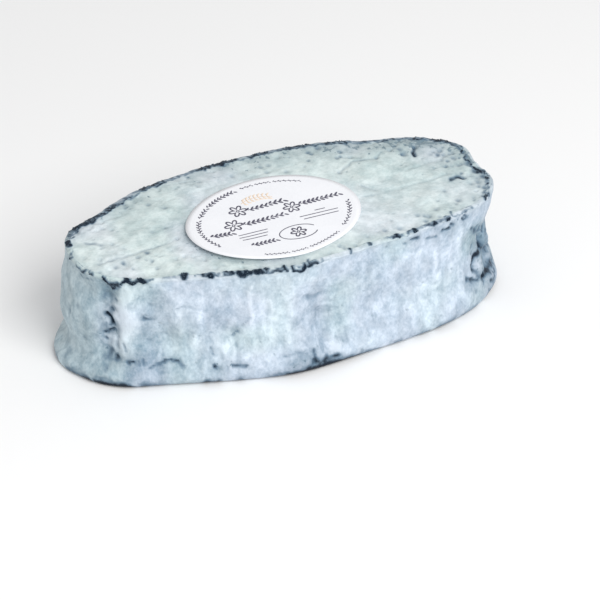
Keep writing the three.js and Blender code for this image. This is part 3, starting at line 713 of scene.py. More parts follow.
# The crust over the rim, from the top's rows to the side's
rimRow = skin["topRows"]
across = np.concatenate([-fromRim, np.zeros((1, columns)), below])
allPoints = np.concatenate([topPoints, rimLine[None], sidePoints])
warpAlong = chanceField("crust along", allPoints)
warpAcross = chanceField("crust across", allPoints)
crustField = np.zeros(across.shape)
haloField = np.zeros(across.shape)
columnPitch = ovalRun / columns
for run, place, reach, strength in walkCrust():
    near = np.arange(round(run / columnPitch) - 12, round(run / columnPitch) + 13)
    picked = near % columns
    alongRim = (near * columnPitch - run) / (1.8 + 0.8 * softness[picked])
    drop = 1.2 * (across[:, picked] + warpAcross[:, picked] - place)
    away = np.hypot(alongRim + warpAlong[:, picked], drop)
    crustField[:, picked] = np.maximum(crustField[:, picked], strength * bell(away, reach))
    haloField[:, picked] = np.maximum(haloField[:, picked], strength * bell(away, 1.8))
for path, wide, dark in onRun(frontCrust):
    near = nearPath(columnRun + 0.5 * warpAlong, across + 0.5 * warpAcross, path, True)
    crustField = np.maximum(crustField, dark * bell(near, wide))
    haloField = np.maximum(haloField, 0.8 * dark * bell(near, 1.4))
# A thin dark line along the crust, which also lifts it a little: partly crust, partly a painted shadow
# line along the rim.
linePlace = np.interp(columnDegrees, crustDegrees, crustBelow)
crustAndShadowLine = (0.5 + 0.12 * softness) * bell(across + warpAcross - linePlace, 0.34 + 0.26 * softness)
crustField = np.maximum(crustField, crustAndShadowLine * smooth(crustHere, 0.15, 0.6))
grit = chanceField("crust grit", allPoints)
crustShare = np.clip(1.1 * crustField + 0.3 * grit * np.minimum(3 * crustField, 1) - 0.08, 0, 1.1)
crustHigh = crustLumps["high"] * smooth(crustField, 0.2, 0.95) * (0.75 + 0.35 * grit)
crustHigh = crustHigh * (1 - 0.6 * softness)
topZ = topZ + 0.6 * crustHigh[:rimRow]
rimTop = rimTop + 0.7 * crustHigh[rimRow]
rimPlan = rimPlan + outward * (0.5 * crustHigh[rimRow])[:, None]
sidePlan = sidePlan + outward * crustHigh[rimRow + 1:][..., None]

# The dark ragged edge on the floor: partly ash, partly a painted contact shadow.
edgeHere = np.interp(columnDegrees, *zip(*footAshAndShadowEdge))
edgeNoise = chanceField("floor edge", sidePoints)
footAshAndShadow = 1.25 * edgeHere * bell(ups - 0.6, 1.6 + 0.6 * edgeNoise)
footAshAndShadow = footAshAndShadow * smooth(edgeNoise + 1.3 * edgeHere, 0.0, 0.8)
blob = nearTurn(math.radians(268.5), math.radians(2.2)) * bell(ups - 0.8, 2.4)
footAshAndShadow = np.maximum(footAshAndShadow, 1.1 * blob * (0.85 + 0.5 * edgeNoise))

# Tones, tints and stains, and a painted shadow beside the label
topTone = chanceField("top tone", topPoints)
for x, y, reach, tone in topPatches:
    topTone = topTone + tone * bell(np.hypot(topX - x, topY - y), reach)
topTint = chanceField("top tint", topPoints) - 0.4
sideTint = chanceField("side tint", sidePoints) + 0.3 - 2.0 * nearTurn(math.radians(184), 0.45)
stainDegrees, stainReach, stainStrong = zip(*rimStain)
rimShade = bell(fromRim, np.interp(columnDegrees, stainDegrees, stainReach))
rimShade = np.interp(columnDegrees, stainDegrees, stainStrong) * rimShade
rimShade = np.clip(rimShade * (0.85 + chanceField("top stain", topPoints)), 0, 1.3)
# A painted shadow on the rind just outside the label's lifted lower-left edge, put in with the mould
# stains.
u, v = labelPlace(topX, topY)
lowerLeft = smooth(-(0.8 * u / label["halfLength"] + 0.6 * v / label["halfWidth"]), -0.1, 0.9)
labelPaintedShadow = 0.8 * lowerLeft * bell(labelShare(topX, topY) - 1.0, 0.07)
stainAndShadow = strongest(rimShade, labelPaintedShadow, 0.7 * haloField[:rimRow], 0.5 * topHalo)
sideStain = strongest(0.7 * haloField[rimRow + 1:], 0.85 * sideHalo)
for turn, along, up, tall, strong in sideStains:
    sideStain = np.maximum(sideStain, strong * nearTurn(turn, along) * bell(ups - up, tall))
sideStain = np.maximum(sideStain, 0.35 * smooth(-sideToneAndLight, 0.25, 0.9))

# The base closes along its spine, and all rows are put in order.
floorLine = sidePlan[-1]
rings = np.arange(skin["baseRings"] - 1, -1, -1)[:, None] / skin["baseRings"]
baseX = spine + (floorLine[:, 0] - spine) * rings
baseY = floorLine[:, 1] * rings
rows = [
    *np.stack([topX, topY, topZ], axis=-1),
    np.column_stack([rimPlan, rimTop]),
    *np.concatenate([sidePlan, sideZ[..., None]], axis=-1),
    *np.stack([baseX, baseY, np.zeros_like(baseX)], axis=-1),
]


def lattice(top, rim, side, base):
    # One value for each place of the lattice, in the same order as its rows.
    return [np.broadcast_to(v, (columns,)) for v in [*top, rim, *side] + [base] * skin["baseRings"]]


creased = nearTurn(math.radians(329), 0.2) * bell(ups - 12, 8)
sideCalm = 1 - smooth(ups, 0.2, 2.5) * (1 + 1.3 * creased)
topCrust, rimCrusted, sideCrust = crustShare[:rimRow], crustShare[rimRow], crustShare[rimRow + 1:]
# The side's ash also carries the painted shadow at the foot and along the rim.
sideAshAndShadow = strongest(sideDark, sideCrust, footAshAndShadow)
fields = {
    "side": lattice(0 * topX, 0.35, smooth(below, 0.0, 1.6), 1.0),
    "ash": lattice(strongest(topDark, topCrust), rimCrusted, sideAshAndShadow, 0.4),
    "crust": lattice(topCrust, rimCrusted, sideCrust, 0.0),
    "stainAndShadow": lattice(stainAndShadow, stainAndShadow[-1], sideStain, 0.2),
    "tone": lattice(topTone, topTone[-1], sideToneAndLight, 0.0),
    "tint": lattice(topTint, topTint[-1], sideTint, 0.0),
    "calm": lattice(underLabel, 0.0, sideCalm, 1.0),
}

shift = (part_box("label")[0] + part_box("label")[1]) / 2 / mm
shift = np.array([shift[0] - label["centre"][0], shift[1] - label["centre"][1], 0.0])


def newPiece(name, points, faces, values=None, edges=()):
    # A mesh object, with one number for each point under each name in values.
    mesh = bpy.data.meshes.new(name)
    mesh.from_pydata(points.tolist(), edges, faces)
    for valueName, numbers in (values or {}).items():
        attribute = mesh.attributes.new(valueName, "FLOAT", "POINT")
        attribute.data.foreach_set("value", numbers.astype(np.float32))
    mesh.shade_smooth()
    piece = bpy.data.objects.new(name, mesh)
    bpy.context.scene.collection.objects.link(piece)
    return piece


def band(upper, lower):
    # The faces between two loops of points.
    return np.stack([upper, lower, np.roll(lower, -1), np.roll(upper, -1)], axis=1)


def buildSkin():
    # The first and last rows are spines, where opposite columns share their points.
    used = [columns // 2 + 1] + [columns] * (len(rows) - 2) + [columns // 2 + 1]
    around = np.arange(columns)
    loops = []
    for first, count in zip(np.cumsum([0] + used[:-1]), used):
        loops.append(first + (around if count == columns else np.minimum(around, columns - around)))

    def flat(lines):
        return np.concatenate([line[:count] for line, count in zip(lines, used)])

    faces = np.concatenate([band(upper, lower) for upper, lower in zip(loops[:-1], loops[1:])])
    values = {name: flat(field) for name, field in fields.items()}
    return newPiece("cheeseRind", (flat(rows) + shift) * mm, faces.tolist(), values)


# Small helpers for node trees. An input is another node's socket or a plain value.

def feed(tree, socket, value):
    if isinstance(value, bpy.types.NodeSocket):
        tree.links.new(value, socket)
    else:
        socket.default_value = value


def addNode(tree, kind, inputs=None, **settings):
    node = tree.nodes.new(kind)
    for name, value in settings.items():
        setattr(node, name, value)
    for name, value in (inputs or {}).items():
        feed(tree, node.inputs[name], value)
    return node


def wire(tree, kind, inputs=None, **settings):
    # Adds a node and hands on its first output.
    return addNode(tree, kind, inputs, **settings).outputs[0]


def sums(tree, operation, *values):
    return wire(tree, "ShaderNodeMath", dict(enumerate(values)), operation=operation)


def spread(tree, value, low, high, toLow=0.0, toHigh=1.0):
    ends = dict(enumerate((value, low, high, toLow, toHigh)))
    return wire(tree, "ShaderNodeMapRange", ends, interpolation_type="SMOOTHSTEP")


def blendColours(tree, share, first, second, how="MIX"):
    inputs = {0: share, 6: first, 7: second}
    return addNode(tree, "ShaderNodeMix", inputs, data_type="RGBA", blend_type=how).outputs[2]


def newTree(name, kind, inputs, outputs):
    # A node group with named sockets, and what is given to it.
    tree = bpy.data.node_groups.new(name, kind)
    for way, sockets in (("INPUT", inputs), ("OUTPUT", outputs)):
        for socketName, socketKind in sockets.items():
            tree.interface.new_socket(socketName, in_out=way, socket_type="NodeSocket" + socketKind)
    return tree, addNode(tree, "NodeGroupInput").outputs


def grow(piece, name, values, material, fill):
    # Makes a tree with an input for each value, has it filled, ends it in plain geometry
    # that carries the material, and leaves the mesh that comes out of it on the piece.
    kinds = {key: "Int" if isinstance(value, int) else "Float" for key, value in values.items()}
    inputs = {"Geometry": "Geometry", **kinds, "Material": "Material"}
    tree, given = newTree(name, "GeometryNodeTree", inputs, {"Geometry": "Geometry"})
    plain = wire(tree, "GeometryNodeRealizeInstances", {0: fill(tree, given)})
    coated = wire(tree, "GeometryNodeSetMaterial", {"Geometry": plain, "Material": given["Material"]})
    addNode(tree, "NodeGroupOutput", {0: coated})
    modifier = piece.modifiers.new(name, "NODES")
    modifier.node_group = tree
    values = dict(values, Material=material)
    for item in tree.interface.items_tree:
        if item.in_out == "INPUT" and item.name in values:
            modifier[item.identifier] = values[item.name]
    evaluated = piece.evaluated_get(bpy.context.evaluated_depsgraph_get())
    grown = bpy.data.meshes.new_from_object(evaluated)
    piece.modifiers.clear()
    grown.name = piece.name
    piece.data = grown


def namedField(tree, name):
    return wire(tree, "GeometryNodeInputNamedAttribute", {"Name": name}, data_type="FLOAT")


def fieldNoise(tree, vector, scale, seed, detail=2.0):
    inputs = {"Vector": vector, "Scale": scale, "W": seed, "Detail": detail}
    return wire(tree, "ShaderNodeTexNoise", inputs, noise_dimensions="4D")


def keepField(tree, geometry, name, value):
    inputs = {"Name": name, "Geometry": geometry, "Value": value}
    return wire(tree, "GeometryNodeStoreNamedAttribute", inputs, data_type="FLOAT", domain="POINT")


def timesVector(tree, vector, factor):
    return wire(tree, "ShaderNodeVectorMath", {0: vector, "Scale": factor}, operation="SCALE")


def pushOut(tree, geometry, distance):
    offset = timesVector(tree, wire(tree, "GeometryNodeInputNormal"), distance)
    return wire(tree, "GeometryNodeSetPosition", {"Geometry": geometry, "Offset": offset})


def chanceVector(tree, low, high, seed):
    inputs = {0: low, 1: high, "Seed": seed}
    return wire(tree, "FunctionNodeRandomValue", inputs, data_type="FLOAT_VECTOR")


def placeCopies(tree, points, copy, turn, size):
    inputs = {"Points": points, "Instance": copy, "Rotation": turn, "Scale": size}
    copies = wire(tree, "GeometryNodeInstanceOnPoints", inputs)
    return wire(tree, "GeometryNodeRealizeInstances", {0: copies})


# The fine relief of the rind

rindRelief = {
    "Wrinkle size": 2.6 * mm,
    "Wrinkle height": 0.34 * mm,
    "Velvet size": 0.9 * mm,
    "Velvet height": 0.07 * mm,
    "Pit spacing": 2.1 * mm,
    "Pit depth": 0.24 * mm,
    "Seed": 4.0,
}


def ageRind(tree, given):
    # Pushes the skin in and out along its normal: slow wrinkles, which stand upright on
    # the side, the velvet of the mould, and pits.
    place = wire(tree, "GeometryNodeInputPosition")
    drawnUp = spread(tree, namedField(tree, "side"), 0.0, 1.0, 1.0, 0.5)
    stretch = wire(tree, "ShaderNodeCombineXYZ", {0: 1.0, 1: 1.0, 2: drawnUp})
    upright = wire(tree, "ShaderNodeVectorMath", {0: place, 1: stretch}, operation="MULTIPLY")
    seed = given["Seed"]
    wrinkleScale = sums(tree, "DIVIDE", 1.0, given["Wrinkle size"])
    velvetScale = sums(tree, "DIVIDE", 1.0, given["Velvet size"])
    pitScale = sums(tree, "DIVIDE", 1.0, given["Pit spacing"])
    wrinkle = sums(tree, "SUBTRACT", fieldNoise(tree, upright, wrinkleScale, seed), 0.5)
    velvet = sums(tree, "SUBTRACT", fieldNoise(tree, place, velvetScale, seed, 1.0), 0.5)
    pits = wire(tree, "ShaderNodeTexVoronoi", {"Vector": place, "Scale": pitScale}, feature="F1")
    chancy = fieldNoise(tree, place, sums(tree, "MULTIPLY", wrinkleScale, 0.6), seed, 0.0)
    pitted = sums(tree, "ADD", spread(tree, chancy, 0.56, 0.66), namedField(tree, "stainAndShadow"))
    pitShare = spread(tree, pits, 0.06, 0.24, 1.0, 0.0)
    pit = sums(tree, "MULTIPLY", pitShare, sums(tree, "MINIMUM", pitted, 1.0))
    raised = sums(tree, "MULTIPLY", wrinkle, given["Wrinkle height"])
    raised = sums(tree, "ADD", raised, sums(tree, "MULTIPLY", velvet, given["Velvet height"]))
    raised = sums(tree, "SUBTRACT", raised, sums(tree, "MULTIPLY", pit, given["Pit depth"]))
    rough = sums(tree, "SUBTRACT", 1.0, namedField(tree, "calm"))
    kept = keepField(tree, given["Geometry"], "hollow", wrinkle)
    kept = keepField(tree, kept, "pit", sums(tree, "MULTIPLY", pit, rough))
    return pushOut(tree, kept, sums(tree, "MULTIPLY", raised, rough))


# Colours and finishes

def colour(red, green, blue):
    # An sRGB colour of 0 to 255 as the linear colour that Blender mixes.
    parts = [c / 255 for c in (red, green, blue)]
    linear = [p / 12.92 if p <= 0.04045 else ((p + 0.055) / 1.055) ** 2.4 for p in parts]
    return (*linear, 1.0)


def mottled(pale, deep, patchScale, grainScale):
    # A look between two colours, with the scales of its patches and grain.
    return {
        "Pale": colour(*pale), "Deep": colour(*deep),
        "Patch scale": patchScale, "Grain scale": grainScale,
    }


rindLook = {
    "top": mottled((226, 234, 237), (174, 191, 196), 360.0, 1300.0),
    "side": mottled((217, 229, 238), (132, 154, 170), 400.0, 1500.0),
    "greenCast": colour(248, 252, 248),
    "violetCast": colour(252, 250, 254),
    # the stain colour also paints the shadow beside the label's edge
    "stainAndShadow": colour(90, 114, 128),
    "dustAndShadow": colour(88, 113, 134),
    "ash": colour(13, 30, 46),
    # painted shade of the wrinkle hollows and painted highlight of their crests
    "wrinkleShadeAndHighlight": (0.87, 1.06),  # of the hollows, of the crests
    "veil": 0.42,  # how much of a stain shows between its specks
    "pitShade": 0.5,
    "speckScale": 700.0,
    "roughness": (0.82, 0.98),
    "fuzzScale": 2000.0,
    "bump": 0.4,
    "bumpReach": 0.1,
}


def makeMottleGroup():
    # Patches and grain of mould between a pale and a deep colour, leaning by a tone.
    inputs = {"Vector": "Vector", "Pale": "Color", "Deep": "Color", "Tone": "Float",
              "Patch scale": "Float", "Grain scale": "Float"}
    outputs = {"Color": "Color", "Height": "Float"}
    group, given = newTree("mouldMottle", "ShaderNodeTree", inputs, outputs)
    patch = wire(group, "ShaderNodeTexNoise", {
        "Vector": given["Vector"], "Scale": given["Patch scale"],
        "Detail": 4.0, "Roughness": 0.58, "Distortion": 0.4,
    })
    grain = wire(group, "ShaderNodeTexNoise", {
        "Vector": given["Vector"], "Scale": given["Grain scale"], "Detail": 3.0,
    })
    grain = spread(group, grain, 0.3, 0.7)
    fine = sums(group, "MULTIPLY", grain, 0.2)
    share = sums(group, "MULTIPLY_ADD", spread(group, patch, 0.3, 0.7), 0.36, fine)
    share = sums(group, "ADD", share, sums(group, "MULTIPLY_ADD", given["Tone"], 0.62, 0.32))
    share = sums(group, "MINIMUM", sums(group, "MAXIMUM", share, 0.0), 1.0)
    mixed = blendColours(group, share, given["Deep"], given["Pale"])
    addNode(group, "NodeGroupOutput", {"Color": mixed, "Height": grain})
    return group


mottle = makeMottleGroup()


def addMottle(tree, vector, look, tone):
    return addNode(tree, "ShaderNodeGroup", dict(look, Vector=vector, Tone=tone), node_tree=mottle).outputs


def newMaterial(name):
    material = bpy.data.materials.new(name)
    material.use_nodes = True
    return material, material.node_tree


def objectPlace(tree):
    return addNode(tree, "ShaderNodeTexCoord").outputs["Object"]


def finishShader(tree, base, rough, specular=0.5, relief=None, strength=0.0, reach=0.0):
    # Feeds the shader, with a bump of that reach in millimetres where there is a relief.
    inputs = tree.nodes["Principled BSDF"].inputs
    for name, value in (("Base Color", base), ("Roughness", rough), ("Specular IOR Level", specular)):
        feed(tree, inputs[name], value)
    if relief is not None:
        bump = {"Strength": strength, "Distance": reach * mm, "Height": relief}
        feed(tree, inputs["Normal"], wire(tree, "ShaderNodeBump", bump))


def makeMottled(name, look, tone, rough, specular, strength, reach):
    # A whole material of the mottling alone, which is also its bump.
    material, tree = newMaterial(name)
    mixed = addMottle(tree, objectPlace(tree), look, tone)
    roughness = spread(tree, mixed["Height"], 0.0, 1.0, *rough)
    finishShader(tree, mixed["Color"], roughness, specular, mixed["Height"], strength, reach)
    return material


def attributeOf(tree, name):
    return addNode(tree, "ShaderNodeAttribute", attribute_name=name).outputs["Fac"]


def makeRindMaterial():
    material, tree = newMaterial("ashRind")
    place = objectPlace(tree)
    upright = wire(tree, "ShaderNodeMapping", {"Scale": (1.0, 1.0, 0.8), "Vector": place})
    # The tone holds the rind's own patches and, on the side, painted shade and highlight.
    tone = attributeOf(tree, "tone")
    top = addMottle(tree, place, rindLook["top"], tone)
    side = addMottle(tree, upright, rindLook["side"], tone)
    base = blendColours(tree, attributeOf(tree, "side"), top["Color"], side["Color"])
    lean = spread(tree, attributeOf(tree, "tint"), -0.7, 0.7)
    cast = blendColours(tree, lean, rindLook["greenCast"], rindLook["violetCast"])
    base = blendColours(tree, 1.0, base, cast, "MULTIPLY")

    # Hollows of the wrinkles are painted darker and crests lighter: a painted shade and a painted
    # highlight.
    hollow = spread(tree, attributeOf(tree, "hollow"), -0.22, 0.2, *rindLook["wrinkleShadeAndHighlight"])
    grey = wire(tree, "ShaderNodeCombineColor", {0: hollow, 1: hollow, 2: hollow})
    base = blendColours(tree, 1.0, base, grey, "MULTIPLY")

    # Stains, and the painted shadow beside the label, come as specks and as a thin veil, and the pits keep
    # some too.
    inputs = {"Vector": place, "Scale": rindLook["speckScale"], "Detail": 4.0}
    specks = wire(tree, "ShaderNodeTexNoise", inputs)
    stainAndShadow = attributeOf(tree, "stainAndShadow")
    edge = sums(tree, "MULTIPLY_ADD", stainAndShadow, -0.3, 0.76)
    speckShare = sums(tree, "DIVIDE", sums(tree, "SUBTRACT", specks, edge), 0.1)
    speckShare = spread(tree, speckShare, 0.0, 1.0, 0.0, 0.8)
    stained = sums(tree, "MAXIMUM", speckShare, sums(tree, "MULTIPLY", stainAndShadow, rindLook["veil"]))
    base = blendColours(tree, stained, base, rindLook["stainAndShadow"])
    pit = sums(tree, "MULTIPLY", attributeOf(tree, "pit"), rindLook["pitShade"])
    base = blendColours(tree, pit, base, rindLook["stainAndShadow"])

    # The ash, with the painted shadow at the foot and along the rim, turns from blue dust to nearly black
    # as it gets thicker.
    broken = spread(tree, specks, 0.3, 0.55, 0.8, 1.1)
    ashShare = sums(tree, "MULTIPLY", attributeOf(tree, "ash"), broken)
    base = blendColours(tree, spread(tree, ashShare, 0.03, 0.6, 0.0, 0.8), base, rindLook["dustAndShadow"])
    base = blendColours(tree, spread(tree, ashShare, 0.4, 1.05), base, rindLook["ash"])
    inputs = {"Vector": place, "Scale": rindLook["fuzzScale"], "Detail": 3.0}
    fuzz = wire(tree, "ShaderNodeTexNoise", inputs)
    relief = sums(tree, "ADD", sums(tree, "MULTIPLY", fuzz, 0.5), side["Height"])
    roughness = spread(tree, specks, 0.3, 0.7, *rindLook["roughness"])
    finishShader(tree, base, roughness, 0.2, relief, rindLook["bump"], rindLook["bumpReach"])
    tree.nodes["Principled BSDF"].inputs["Sheen Weight"].default_value = 0.1
    return material


rindMaterial = makeRindMaterial()
rind = buildSkin()
grow(rind, "ageRind", rindRelief, rindMaterial, ageRind)
print("rind grown:", len(rind.data.polygons), "faces")

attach(rind, "root")
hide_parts("cheese")

# The crumbs of dry crust along the rim

rimCrumbs = {
    "Crumbs per square metre": 2.2e6,
    "Crumb size": 0.3 * mm,
    "Seed": 11,
}


def scatterCrumbs(tree, given):
    crusted = spread(tree, namedField(tree, "crust"), 0.6, 1.05)
    points = wire(tree, "GeometryNodeDistributePointsOnFaces", {
        "Mesh": given["Geometry"], "Seed": given["Seed"],
        "Density": sums(tree, "MULTIPLY", given["Crumbs per square metre"], crusted),
    })
    radius = sums(tree, "MULTIPLY", given["Crumb size"], 0.5)
    crumb = wire(tree, "GeometryNodeMeshIcoSphere", {"Subdivisions": 2, "Radius": radius})
    turn = chanceVector(tree, (0.0, 0.0, 0.0), (6.28, 6.28, 6.28), given["Seed"])
    nextSeed = sums(tree, "ADD", given["Seed"], 1.0)
    size = chanceVector(tree, (0.5, 0.5, 0.4), (1.9, 1.5, 1.2), nextSeed)
    solid = placeCopies(tree, points, crumb, turn, size)
    place = wire(tree, "GeometryNodeInputPosition")
    dents = fieldNoise(tree, place, sums(tree, "DIVIDE", 1.4, given["Crumb size"]), 2.0, 1.0)
    depth = sums(tree, "MULTIPLY", sums(tree, "SUBTRACT", dents, 0.5), given["Crumb size"])
    return pushOut(tree, solid, depth)


dryCrust = makeMottled(
    "dryCrust", mottled((92, 110, 124), (13, 30, 46), 420.0, 2600.0),
    tone=-0.4, rough=(0.7, 0.95), specular=0.2, strength=0.5, reach=0.06,
)
crumbs = bpy.data.objects.new("rimCrumbs", rind.data.copy())
bpy.context.scene.collection.objects.link(crumbs)
grow(crumbs, "scatterCrumbs", rimCrumbs, dryCrust, scatterCrumbs)
crumbs.data.shade_smooth()
print("crumbs scattered:", len(crumbs.data.polygons), "faces")
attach(crumbs, "root")

# The paper label

paperGrid = {"columns": 160, "rings": 16}


def paperHeight(x, y):
    # The paper's underside over a place of the top, in millimetres.
    u, v = labelPlace(x, y)
    towards = -(0.9 * u / label["halfLength"] + 0.43 * v / label["halfWidth"])
    curl = label["curl"] * smooth(towards, 0.45, 1.05)
    cockle = chanceField("cockled paper", np.stack([x, y, 0 * x], axis=-1))
    return topBed(x, y) + label["lies"] + curl + cockle + 0.06


def fromLabel(u, v):
    x, y = turned(u, v, label["turn"])
    return label["centre"][0] + x, label["centre"][1] + y


def makeLabel():
    # Two sheets of rings round a middle point, joined along the edge.
    turns = np.arange(paperGrid["columns"]) / paperGrid["columns"] * 2 * math.pi
    shares = np.arange(1, paperGrid["rings"] + 1) / paperGrid["rings"]
    u = np.concatenate([[0], np.outer(shares, np.cos(turns)).ravel() * label["halfLength"]])
    v = np.concatenate([[0], np.outer(shares, np.sin(turns)).ravel() * label["halfWidth"]])
    x, y = fromLabel(u, v)
    low = paperHeight(x, y)
    points = np.concatenate([np.stack([x, y, z], axis=-1) for z in (low + label["thickness"], low)])
    count = len(u)
    loops = 1 + np.arange(count - 1).reshape(paperGrid["rings"], -1)
    fan = np.stack([0 * loops[0], loops[0], np.roll(loops[0], -1)], axis=1)
    sheet = np.concatenate([band(inner, outer) for inner, outer in zip(loops[:-1], loops[1:])])
    faces = fan.tolist() + (count + fan[:, [0, 2, 1]]).tolist() + sheet.tolist()
    faces += (count + sheet[:, [0, 3, 2, 1]]).tolist() + band(loops[-1], count + loops[-1]).tolist()
    return newPiece("paperLabel", (points + shift) * mm, faces)


labelPaper = makeMottled(
    "labelPaper", mottled((237, 238, 242), (225, 227, 232), 90.0, 1800.0),
    tone=0.4, rough=(0.5, 0.65), specular=0.3, strength=0.15, reach=0.03,
)
paper = makeLabel()
paper.data.materials.append(labelPaper)
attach(paper, "root")
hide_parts("label")
print("label laid:", len(paper.data.polygons), "faces")

# The label's print: plain ornament of leafy rows, rules, flowers and a sprig, drawn
# flat, in millimetres along and across the print from the label's middle, then laid on
# the paper.

labelPrint = {
    "turn": math.radians(-5.5),  # of the print from the label's own axis
    "inkHeight": 0.035,
    "leafPitch": 1.1,
    # turn of the oval from and to, share of the label's size, leaf size
    "arcs": [
        (197, 171, 0.85, 1.5), (166, 148, 0.85, 1.7), (140, 128, 0.85, 1.7), (123, 96, 0.85, 1.9),
        (88, 80, 0.86, 1.1), (76, 66, 0.86, 1.0), (62, 42, 0.86, 1.0), (-124, -108, 0.89, 1.0),
        (-104, -94, 0.89, 0.9), (-90, -64, 0.89, 1.0), (-52, -38, 0.87, 1.4), (-34, -16, 0.87, 1.6),
    ],
    # start, end and leaf size of the straight rows
    "leafRows": [
        ((-4.6, 5.4), (0.6, 5.6), 2.3), ((1.7, 5.8), (4.6, 5.9), 2.6), ((-7.8, -0.2), (-1.4, 0.0), 2.5),
        ((-0.2, 0.1), (2.6, 0.2), 2.2), ((8.6, 2.8), (13.4, 3.0), 2.6), ((14.6, 3.1), (18.6, 3.2), 2.3),
        ((-17.4, -2.6), (-12.8, -2.5), 2.5), ((-9.4, -9.6), (-3.8, -9.4), 2.2),
    ],
    "rules": [
        ((-11.2, -4.2), (-3.4, -4.2)), ((-11.4, -5.4), (-3.8, -5.4)), ((-11.0, -6.6), (-4.4, -6.6)),
        ((6.0, -2.6), (16.4, -2.6)), ((6.6, -3.9), (16.0, -3.9)), ((10.6, -1.3), (13.4, -1.3)),
    ],
    # middle and size of the flowers
    "flowers": [((-7.2, 5.9), 2.3), ((-10.6, 0.4), 2.3), ((5.9, 2.3), 2.2), ((3.2, -8.4), 2.0)],
    "wreath": ((3.2, -8.4), 5.0, 2.9),
    "sprig": ((-1.0, 8.6), 8.5),
}

inkLook = {
    "dark": mottled((104, 102, 118), (56, 54, 72), 500.0, 3000.0),
    "tan": mottled((244, 226, 206), (226, 202, 178), 500.0, 3000.0),
}


def strokeLine(points, width, lean=0.0, tan=0.0):
    # A plain line, or a row of leaves if it has a lean.
    points = np.asarray(points, dtype=float)
    widths = np.broadcast_to(width, (len(points),))
    return {"points": points, "width": widths, "lean": lean, "tan": tan}


def flowerStrokes(middle, size):
    # Six petals in one swelling stroke round a small ring.
    turns = np.linspace(0, 2 * math.pi, 97)
    around = np.stack([np.cos(turns), np.sin(turns)], axis=-1)
    swell = np.abs(np.cos(3 * turns))
    petals = middle + around * (size * (0.3 + 0.7 * swell))[:, None]
    ring = middle + around[::8] * 0.16 * size
    return [strokeLine(petals, 0.2 + 0.24 * swell), strokeLine(ring, 0.24)]


def garland(points, size):
    # A thin stem with a row of leaves on either side of it.
    points = np.asarray(points, dtype=float)
    heading = np.gradient(points, axis=0)
    heading = heading / np.linalg.norm(heading, axis=1, keepdims=True)
    across = np.stack([-heading[:, 1], heading[:, 0]], axis=-1)
    strokes = [strokeLine(points, 0.06 + 0.06 * size)]
    for hand in (1, -1):
        side = points + 0.2 * size * hand * across + 0.2 * size * (1 - hand) * heading
        strokes.append(strokeLine(side, size, lean=hand))
    return strokes


def printStrokes():
    strokes = []
    for start, end, share, size in labelPrint["arcs"]:
        turns = np.radians(np.linspace(start, end, 40)) - labelPrint["turn"]
        u = label["halfLength"] * share * np.cos(turns)
        v = label["halfWidth"] * share * np.sin(turns)
        strokes += garland(np.stack(turned(u, v, -labelPrint["turn"]), axis=-1), size)
    for start, end, size in labelPrint["leafRows"]:
        strokes += garland(np.linspace(start, end, 12), size)
    for start, end in labelPrint["rules"]:
        strokes.append(strokeLine(np.linspace(start, end, 20), 0.24))
    for middle, size in labelPrint["flowers"]:
        strokes += flowerStrokes(middle, size)
    (x, y), halfWide, halfTall = labelPrint["wreath"]
    turns = np.linspace(0.4, 2 * math.pi - 0.4, 50)
    points = np.stack([x + halfWide * np.cos(turns), y + halfTall * np.sin(turns)], axis=-1)
    strokes.append(strokeLine(points, 0.24))
    (x, y), size = labelPrint["sprig"]
    stem = np.linspace(-0.5, 0.5, 24)
    arch = np.stack([x + size * stem, y + 1.2 - 5.2 * stem**2], axis=-1)
    strokes.append(strokeLine(arch, 0.22, tan=1.0))
    for place in stem[2:-1:3]:
        root = np.array([x + size * place, y + 1.2 - 5.2 * place**2])
        for hand in (-1, 1):
            tip = root + (0.9, 1.5 * hand)
            middle = (root + tip) / 2 + (-0.25, 0.2 * hand)
            strokes.append(strokeLine([root, middle, tip], [0.1, 0.62, 0.08], tan=1.0))
    return strokes


